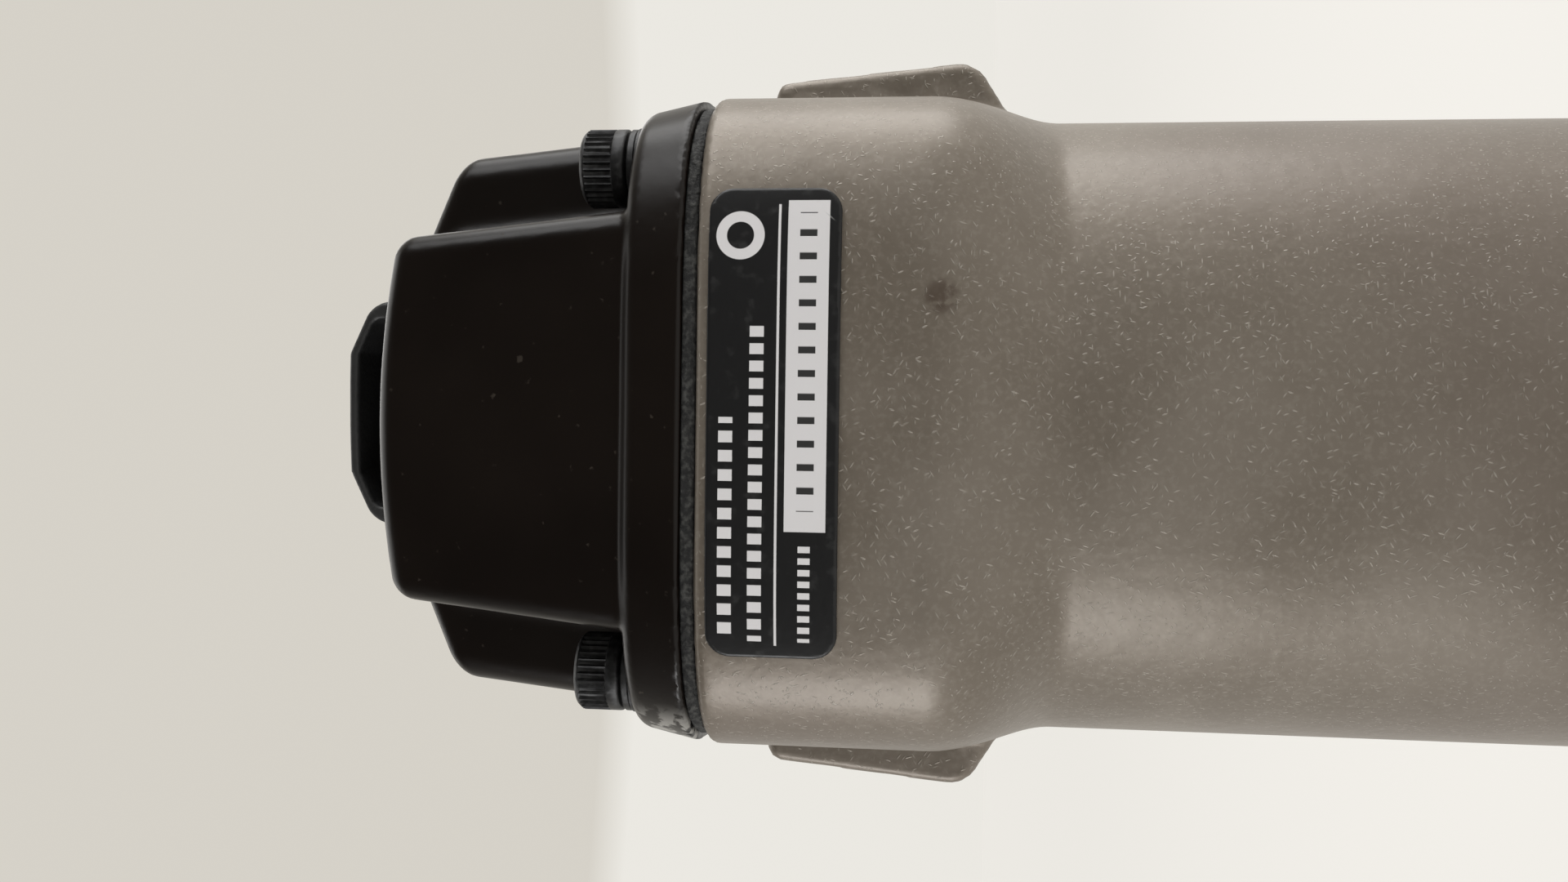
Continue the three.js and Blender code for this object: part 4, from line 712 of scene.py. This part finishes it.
capShape = {"flange": 6.4, "flangeHalf": (36.1, 35.6), "flangeEdge": 1.3, "draft": 0.2,
            "lobeHalf": (22.0, 33.2), "lobeTop": (19.2, 30.8), "wingHalf": (33.7, 15.5),
            "wingTop": (30.8, 14.0), "domeEdge": 2.0, "cornerFillet": 4.0, "lip": 1.3, "seat": 20.9,
            "bow": 0.0052, "wingSlope": 0.42, "wingStart": 19.5, "wingRise": 2.8, "cell": 0.5}
capHollow = {"pocket": 25, "pocketDepth": 4.5, "bore": 17.8, "boreDepth": 20.5, "portPlace": 5.5, "port": 2.6,
             "portBottom": 15, "screw": 2.3, "screwDepth": 10}


def domeField(x, y, z, foot, height, base, top, edge, corner):
    share = (z - foot) / height
    halfX = base[0] + (top[0] - base[0]) * share
    halfY = base[1] + (top[1] - base[1]) * share
    walls = roundAnd(np.abs(x) - halfX, np.abs(y) - halfY, corner)
    return roundAnd(walls, z - foot - height, edge)


def crossedDome(x, y, z, foot, top):  # a long lobe crossed by two wings, with a round seat for the deflector
    shape = capShape
    height = top - foot
    bow = shape["bow"] * x * x
    lobe = domeField(x, y, z + bow, foot, height + shape["lip"], shape["lobeHalf"], shape["lobeTop"],
                     shape["domeEdge"], 2.4)
    slope = shape["wingSlope"] * np.maximum(np.abs(x) - shape["wingStart"], 0)
    wings = domeField(x, y, z + slope, foot, height + shape["wingRise"], shape["wingHalf"], shape["wingTop"],
                      1.8, 3.4)
    dome = roundOr(lobe, wings, shape["cornerFillet"])
    dome = np.maximum(dome, foot - 2 - z)
    return roundCut(dome, rod(x, y, z, shape["seat"], top, top + 20, 0.1), 0.6)


def capField(x, y, z):
    shape, hollow = capShape, capHollow
    bottom, top = capLow[2], capHigh[2]
    foot = bottom + shape["flange"]
    inset = shape["draft"] * (z - bottom)
    halfX, halfY = (half - inset for half in shape["flangeHalf"])
    flange = squircle(x, y, halfX, halfY, head["power"])
    flange = roundAnd(flange, z - foot, shape["flangeEdge"])
    flange = roundAnd(flange, bottom - z, 0.3)
    body = roundOr(flange, crossedDome(x, y, z, foot, top), 0.6)
    pocket = rod(x, y, z, hollow["pocket"], bottom - 2, bottom + hollow["pocketDepth"], 0.5)
    bore = rod(x, y, z, hollow["bore"], bottom - 2, bottom + hollow["boreDepth"], 0.5)
    body = roundCut(body, np.minimum(pocket, bore), 0.4)
    place = hollow["portPlace"]
    ports = np.hypot(np.abs(x) - place, np.abs(y) - place) - hollow["port"]
    body = roundCut(body, roundAnd(ports, bottom + hollow["portBottom"] - z, 0.3), 0.4)
    body = roundCut(body, rod(x, y, z, hollow["screw"], top - hollow["screwDepth"], top + 3, 0.2), 0.3)
    screwHoles = np.hypot(np.abs(x) - capScrewPlace[0], np.abs(y) - capScrewPlace[1]) - screwHole
    return roundCut(body, roundAnd(screwHoles, z - foot - 3, 0.2), 0.4)


capMesh = surfaceOf("cap", capField, capLow - 1.6, capHigh + 3, capShape["cell"])
newPiece("capCasting", capMesh, "black_coat", "frame", ["cylinder_cap"])


# exhaust deflector: an arched hood, open to the front, turning on its screw

hoodLow, hoodHigh = boxOf("exhaust_deflector")
hood = {"side": 2.0, "roof": 1.2, "arch": 0.4, "corner": 1.9, "flat": 7.0, "slant": 0.42, "turn": -2,
        "offset": 1.0, "spread": 0.7, "boss": 4.0, "screw": 2.3, "screwHead": 3.7, "headDepth": 3.5,
        "cell": 0.34}


def hoodPart(x, y, z, inset, drop, front):
    half = hoodHigh[0] + hood["spread"] - inset
    plan = np.where(y > 0, np.hypot(x, y), np.abs(x)) - half
    roof = z - hoodHigh[2] + drop + hood["arch"] * (x / hoodHigh[0]) ** 2
    roof = roof + hood["slant"] * np.maximum(np.abs(x) - hood["flat"], 0)
    shape = roundAnd(plan, roof, max(hood["corner"] - inset, 0.8))
    return roundAnd(shape, front - y, 0.5)


def hoodField(x, y, z):
    turn = math.radians(hood["turn"])  # stands a little off square on its screw
    x, y = x * math.cos(turn) + y * math.sin(turn), y * math.cos(turn) - x * math.sin(turn)
    aside = x - hood["offset"]
    shell = roundAnd(hoodPart(aside, y, z, 0, 0, hoodLow[1]), hoodLow[2] - z, 0.3)
    hollow = hoodPart(aside, y, z, hood["side"], hood["roof"], hoodLow[1] - 5)
    shell = roundCut(shell, hollow, 0.35)
    boss = rod(x, y, z, hood["boss"], hoodLow[2], hoodHigh[2] - 1, 0.3)
    shell = roundOr(shell, boss, 0.8)
    shell = roundCut(shell, np.hypot(x, y) - hood["screw"], 0.3)
    headPocket = roundAnd(np.hypot(x, y) - hood["screwHead"], hoodHigh[2] - hood["headDepth"] - z, 0.2)
    return roundCut(shell, headPocket, 0.4)


hoodMesh = surfaceOf("hood", hoodField, hoodLow - 2.5, hoodHigh + 2.5, hood["cell"])
newPiece("deflectorHood", hoodMesh, "black_plastic", "deflector", ["exhaust_deflector"])


# rating label: a thin film bent round the head's front

labelLow, labelHigh = boxOf("rating_label")
labelSheet = {"offset": 0.35, "halfThickness": 0.3, "corner": 2.5}


def labelField(x, y, z):
    offset = labelSheet["offset"]
    middle = squircle(x, y, housingHigh[0] - head["padDepth"] + offset, head["halfY"] + offset, head["power"])
    sheet = np.abs(middle) - labelSheet["halfThickness"]
    halfX = (labelHigh[0] - labelLow[0]) / 2
    window = brick(x, y, z, (-halfX, labelLow[1] - 3, labelLow[2]), (halfX, -25, labelHigh[2]), 0.01)
    corner = labelSheet["corner"]
    u = slab(x, -halfX + corner, halfX - corner)
    w = slab(z, labelLow[2] + corner, labelHigh[2] - corner)
    outline = np.hypot(np.maximum(u, 0), np.maximum(w, 0)) + np.minimum(np.maximum(u, w), 0) - corner
    return roundAnd(roundAnd(sheet, outline, 0.15), np.maximum(window, y + 25), 0.05)


labelMesh = surfaceOf("label", labelField, labelLow - 0.2, labelHigh + (0, 1.5, 0), 0.24)
newPiece("labelSheet", labelMesh, "label", "frame", ["rating_label"])
print("castings and hood shaped")


# head gasket: a sheet with a slightly ragged edge

gasketCut = {"around": 260, "ragged": 0.1, "seed": 4, "grow": 0.7, "bore": 25.5, "overlap": 0.24}


def gasketMesh(cut):
    around, ragged = cut["around"], cut["ragged"]
    low, high = boxOf("head_gasket")
    bottom, top = low[2] - cut["overlap"], high[2] + cut["overlap"]
    power = head["power"]
    random = np.random.default_rng(cut["seed"])
    mesh = bmesh.new()
    rings = []
    for inset, z, rough in ((9.6, bottom, 0), (0.25, bottom, 0), (0, bottom + 0.2, 1), (0, top - 0.2, 1),
                            (0.25, top, 0), (9.6, top, 0)):
        ring = []
        for i in range(around):
            angle = 2 * math.pi * i / around
            cosine, sine = math.cos(angle), math.sin(angle)
            edge = (abs(cosine / high[0]) ** power + abs(sine / high[0]) ** power) ** (-1 / power)
            edge += cut["grow"]
            reach = cut["bore"] if inset > 5 else edge - inset + rough * random.normal(0, ragged)
            ring.append(mesh.verts.new((reach * cosine / 1000, (reach * sine + axisY) / 1000, z / 1000)))
        rings.append(ring)
    for ring, following in zip(rings, rings[1:] + rings[:1]):
        for i in range(around):
            j = (i + 1) % around
            mesh.faces.new((ring[i], ring[j], following[j], following[i]))
    bmesh.ops.recalc_face_normals(mesh, faces=mesh.faces)
    made = bpy.data.meshes.new("gasket")
    mesh.to_mesh(made)
    mesh.free()
    made.shade_smooth()
    return made


newPiece("gasketSheet", gasketMesh(gasketCut), "gasket", "frame", ["head_gasket"])


# CAD pieces kept in shape, with their edges broken

def brokenEdges(node, width, sharp=50):
    copy = frame["nodes"][node].data.copy()
    mesh = bmesh.new()
    mesh.from_mesh(copy)
    bmesh.ops.remove_doubles(mesh, verts=mesh.verts, dist=1e-6)
    bmesh.ops.dissolve_limit(mesh, angle_limit=math.radians(0.5), verts=mesh.verts, edges=mesh.edges)
    mesh.to_mesh(copy)
    mesh.free()

    def bevel(helper):
        edge = helper.modifiers.new("edge", "BEVEL")
        edge.width = width / 1000
        edge.segments = 2
        edge.limit_method = "ANGLE"
        edge.angle_limit = math.radians(38)
        edge.use_clamp_overlap = True
    made = baked(copy, bevel)
    made.shade_smooth()
    made.set_sharp_from_angle(angle=math.radians(sharp))
    return made


edgeWidths = {
    "cylinder_sleeve": 0.3, "sleeve_seal": 0.1, "bumper": 0.5, "piston": 0.3, "piston_ring": 0.2,
    "driver_blade": 0.1, "head_valve": 0.3, "end_cap_gasket": 0.1, "end_cap": 0.8,
    "air_plug": 0.35, "trigger": 0.5, "trigger_pin": 0.2, "rocker_lever": 0.3, "valve_body": 0.4,
    "valve_cap": 0.2, "valve_stem": 0.2, "nose_body": 0.6, "nose_door": 0.5, "door_hinge_pin": 0.2,
    "door_latch": 0.4,
    "contact_rod": 0.25, "contact_foot": 0.5, "no_mar_pad": 0.7, "magazine_core": 0.5,
    "magazine_cover": 0.4, "nail_pusher": 0.5, "pusher_spring": 0.2, "magazine_latch": 0.5,
    "magazine_bracket": 0.5, "rear_pad": 0.5,
}
for node, width in edgeWidths.items():
    first, *others = node.split("_")
    pieceName = first + "".join(word.title() for word in others)
    newPiece(pieceName, brokenEdges(node, width), slotOf[node], bodyOf[node], [node])
print("edges broken on", len(edgeWidths), "pieces")


# repeats: one shape set along a line or round a ring by Geometry Nodes

def repeatTree(aroundRing):
    tree = bpy.data.node_groups.new("repeatRing" if aroundRing else "repeatLine", "GeometryNodeTree")
    sockets = {"Geometry": "NodeSocketGeometry", "Shape": "NodeSocketObject", "Count": "NodeSocketInt",
               "Start": "NodeSocketVector", "Radius": "NodeSocketFloat", "Step": "NodeSocketVector",
               "Finish": "NodeSocketMaterial"}
    for name, kind in sockets.items():
        tree.interface.new_socket(name, in_out="INPUT", socket_type=kind)
    tree.interface.new_socket("Geometry", in_out="OUTPUT", socket_type="NodeSocketGeometry")
    add, link = tree.nodes.new, tree.links.new
    given = add("NodeGroupInput").outputs
    placed = add("GeometryNodeInstanceOnPoints")
    shape = add("GeometryNodeObjectInfo")
    link(given["Shape"], shape.inputs["Object"])
    link(shape.outputs["Geometry"], placed.inputs["Instance"])
    if aroundRing:
        points = add("GeometryNodeMeshCircle")
        link(given["Count"], points.inputs["Vertices"])
        link(given["Radius"], points.inputs["Radius"])
        place = add("GeometryNodeInputPosition")
        facing = add("FunctionNodeAlignRotationToVector")
        facing.axis, facing.pivot_axis = "X", "Z"
        link(place.outputs[0], facing.inputs["Vector"])
        link(facing.outputs[0], placed.inputs["Rotation"])
    else:
        points = add("GeometryNodeMeshLine")
        link(given["Count"], points.inputs["Count"])
        link(given["Step"], points.inputs["Offset"])
    moved = add("GeometryNodeTransform")
    joined = add("GeometryNodeJoinGeometry")
    real = add("GeometryNodeRealizeInstances")
    coloured = add("GeometryNodeSetMaterial")
    link(points.outputs["Mesh"], placed.inputs["Points"])
    link(placed.outputs["Instances"], moved.inputs["Geometry"])
    link(given["Start"], moved.inputs["Translation"])
    link(moved.outputs["Geometry"], joined.inputs["Geometry"])
    link(given["Geometry"], joined.inputs["Geometry"])
    link(joined.outputs["Geometry"], real.inputs["Geometry"])
    link(real.outputs["Geometry"], coloured.inputs["Geometry"])
    link(given["Finish"], coloured.inputs["Material"])
    link(coloured.outputs["Geometry"], add("NodeGroupOutput").inputs[0])
    return tree


lineTree, ringTree = repeatTree(False), repeatTree(True)


def repeated(base, tree, slot, shape, **values):  # base mesh with the shape's copies joined to it
    source = bpy.data.objects.new("source", shape)
    bpy.context.scene.collection.objects.link(source)

    def prepare(helper):
        repeat = helper.modifiers.new("repeat", "NODES")
        repeat.node_group = tree
        named = {item.name: item.identifier for item in tree.interface.items_tree if item.in_out == "INPUT"}
        for key, value in {"Shape": source, "Finish": materials[slot], **values}.items():
            repeat[named[key]] = value
    made = baked(base, prepare)
    bpy.data.objects.remove(source)
    return made


def meshOf(name, points, faces, smooth=40):  # points in millimetres, closed shape
    mesh = bmesh.new()
    corners = [mesh.verts.new(Vector(point) / 1000) for point in points]
    for face in faces:
        mesh.faces.new([corners[i] for i in face])
    bmesh.ops.recalc_face_normals(mesh, faces=mesh.faces)
    made = bpy.data.meshes.new(name)
    mesh.to_mesh(made)
    mesh.free()
    made.shade_smooth()
    made.set_sharp_from_angle(angle=math.radians(smooth))
    return made


def swept(name, path, section, closed=True, smooth=50):  # a section carried round a plane path
    points, faces = [], []
    count, ring = len(path), len(section)
    for (u, v, outU, outV) in path:
        points += [(u + outU * a, v + outV * a, b) for a, b in section]
    for i in range(count if closed else count - 1):
        for j in range(ring):
            k, m = (i + 1) % count, (j + 1) % ring
            faces.append((i * ring + j, i * ring + m, k * ring + m, k * ring + j))
    if not closed:
        faces += [list(range(ring)), list(range((count - 1) * ring, count * ring))[::-1]]
    return meshOf(name, points, faces, smooth)


def roundSection(outward, along, segments=8):
    turns = (2 * math.pi * i / segments for i in range(segments))
    return [(outward * math.cos(turn), along * math.sin(turn)) for turn in turns]


def moved(mesh, shift, turn=None):
    copy = mesh.copy()
    if turn is not None:
        copy.transform(turn)
    copy.transform(Matrix.Translation(Vector(shift) / 1000))
    return copy


# cap screws: knurled heads with a hexagon socket, over a split and a flat washer

capScrew = {"radius": 4.25, "core": 3.98, "head": 5.0, "collar": 1.5, "shank": 2.25, "length": 22.4,
            "ribs": 34, "ribWidth": 0.3, "ribHeight": 0.27, "socket": 1.75, "cell": 0.2}
screwLow, screwHigh = boxOf("cap_screw_1")


def screwField(x, y, z):  # z runs down from the head's outer end at 0
    shape = capScrew
    body = rod(x, y, z, shape["core"], -shape["head"], 0, 0.5)
    collar = rod(x, y, z, shape["radius"], -shape["head"], -shape["head"] + shape["collar"], 0.25)
    rim = rod(x, y, z, shape["radius"] - 0.1, -0.75, -0.3, 0.3)
    body = np.minimum(np.minimum(body, collar), rim)
    thread = 0.18 * np.sin(2 * np.pi * (z / 0.8 + np.arctan2(y, x) / (2 * np.pi)))
    shankEnds = slab(z, -shape["head"] - shape["length"], -1)
    shank = roundAnd(np.hypot(x, y) - shape["shank"] + thread, shankEnds, 0.3)
    body = np.minimum(body, shank)
    third = math.pi / 3
    flats = [np.abs(x * math.cos(turn * third) + y * math.sin(turn * third)) for turn in range(3)]
    hexagon = np.maximum(np.maximum(flats[0], flats[1]), flats[2]) - shape["socket"]
    return roundCut(body, roundAnd(hexagon, -2.8 - z, 0.1), 0.15)


screwReach = capScrew["radius"] + 0.2
screwBottom = -capScrew["head"] - capScrew["length"]
screwCorners = (-screwReach, -screwReach, screwBottom), (screwReach, screwReach, 0)
bareScrew = surfaceOf("capScrew", screwField, *screwCorners, capScrew["cell"], 16000)
bareScrew.transform(Matrix.Translation((0, -axisY / 1000, 0)))
ribLow, ribHigh = -capScrew["head"] + capScrew["collar"] - 0.1, -0.6
ribHeight, ribWidth = capScrew["ribHeight"], capScrew["ribWidth"]
ribSection = ((-0.1, -ribWidth), (ribHeight, 0), (-0.1, ribWidth))
ribPoints = [(a, b, z) for z in (ribLow, ribHigh) for a, b in ribSection]
ribMesh = meshOf("rib", ribPoints, [(0, 1, 2), (5, 4, 3), (0, 3, 4, 1), (1, 4, 5, 2), (2, 5, 3, 0)], 20)
screwMesh = repeated(bareScrew, ringTree, "black_oxide", ribMesh, Count=capScrew["ribs"],
                     Radius=capScrew["core"] / 1000)

washer = {"outer": 4.35, "inner": 2.5, "flat": 0.45, "split": 0.85, "gap": 0.12}


def washerMesh(shape):
    middle = (shape["outer"] + shape["inner"]) / 2
    half = (shape["outer"] - shape["inner"]) / 2

    def ringPath(first, last, count, reach):
        turns = (first + (last - first) * i / count for i in range(count))
        return [(reach * math.cos(t), reach * math.sin(t), math.cos(t), math.sin(t)) for t in turns]

    def oblong(reach, low, high, edge):
        return [(-reach, low), (reach - edge, low), (reach, low + edge), (reach, high - edge),
                (reach - edge, high), (-reach, high)]
    flat = swept("flat", ringPath(0, 2 * math.pi, 48, middle), oblong(half, 0, shape["flat"], 0.1))
    section = oblong(half - 0.12, shape["flat"], shape["flat"] + shape["split"], 0.15)
    openRing = ringPath(shape["gap"], 2 * math.pi - shape["gap"], 44, middle)
    split = swept("split", openRing, section, closed=False)
    mesh = bmesh.new()
    mesh.from_mesh(flat)
    mesh.from_mesh(split)
    made = bpy.data.meshes.new("washers")
    mesh.to_mesh(made)
    mesh.free()
    made.shade_smooth()
    made.set_sharp_from_angle(angle=math.radians(35))
    return made


washers = washerMesh(washer)
for index in range(1, 5):
    low, high = boxOf(f"cap_screw_{index}")
    seat = boxOf(f"cap_washer_{index}")[0][2]
    place = ((low[0] + high[0]) / 2, (low[1] + high[1]) / 2 + axisY, high[2])
    spin = Matrix.Rotation(math.radians(37 * index), 4, "Z")
    turnedScrew = moved(screwMesh, place, spin)
    newPiece(f"capScrew{index}", turnedScrew, "black_oxide", "frame", [f"cap_screw_{index}"])
    under = (place[0], place[1], seat - 0.05)
    newPiece(f"capWashers{index}", moved(washers, under, spin), slotOf[f"cap_washer_{index}"], "frame",
             [f"cap_washer_{index}"])
print("cap screws and washers made")


# grip sleeve with moulded ribs, knurled depth wheel

gripRibs = {"count": 19, "outward": 0.75, "along": 1.5, "power": 2.4, "inset": 0.15, "margin": 8}


def gripMesh(shape):
    low, high = boxOf("handle_grip")
    base = brokenEdges("handle_grip", 0.6)
    halfX, halfZ = high[0] - shape["inset"], (high[2] - low[2]) / 2 - shape["inset"]
    path = []
    for i in range(72):
        turn = 2 * math.pi * i / 72
        cosine, sine = math.cos(turn), math.sin(turn)
        power = shape["power"]
        reach = (abs(cosine / halfX) ** power + abs(sine / halfZ) ** power) ** (-1 / power)
        path.append((reach * cosine, reach * sine, cosine, sine))
    rib = swept("gripRib", path, roundSection(shape["outward"], shape["along"]))
    rib.transform(Matrix.Rotation(math.pi / 2, 4, "X"))
    step = (high[1] - low[1] - 2 * shape["margin"]) / (shape["count"] - 1)
    start = (0, (low[1] + axisY + shape["margin"]) / 1000, (low[2] + high[2]) / 2000)
    stride = (0, step / 1000, 0)
    return repeated(base, lineTree, "black_rubber", rib, Count=shape["count"], Start=start, Step=stride)


newPiece("gripSleeve", gripMesh(gripRibs), "black_rubber", "frame", ["handle_grip"])

wheelRibs = {"count": 28, "height": 0.3, "width": 0.34}


def wheelMesh(shape):
    low, high = boxOf("depth_wheel")
    radius = (high[0] - low[0]) / 2
    height, width = shape["height"], shape["width"]
    ends = (low[2] + 0.5, high[2] - 0.5)
    section = ((-0.3, -width), (height, -0.08), (height, 0.08), (-0.3, width))
    points = [(a, b, z) for z in ends for a, b in section]
    faces = [(0, 1, 2, 3), (7, 6, 5, 4), (0, 4, 5, 1), (1, 5, 6, 2), (2, 6, 7, 3), (3, 7, 4, 0)]
    centre = ((low[0] + high[0]) / 2000, (low[1] + high[1] + 2 * axisY) / 2000, 0)
    tooth = meshOf("tooth", points, faces, 20)
    wheel = brokenEdges("depth_wheel", 0.25)
    return repeated(wheel, ringTree, slotOf["depth_wheel"], tooth, Count=shape["count"], Radius=radius / 1000,
                    Start=centre)


newPiece("depthWheel", wheelMesh(wheelRibs), slotOf["depth_wheel"], "depth_wheel", ["depth_wheel"])
print("grip and depth wheel ribbed")
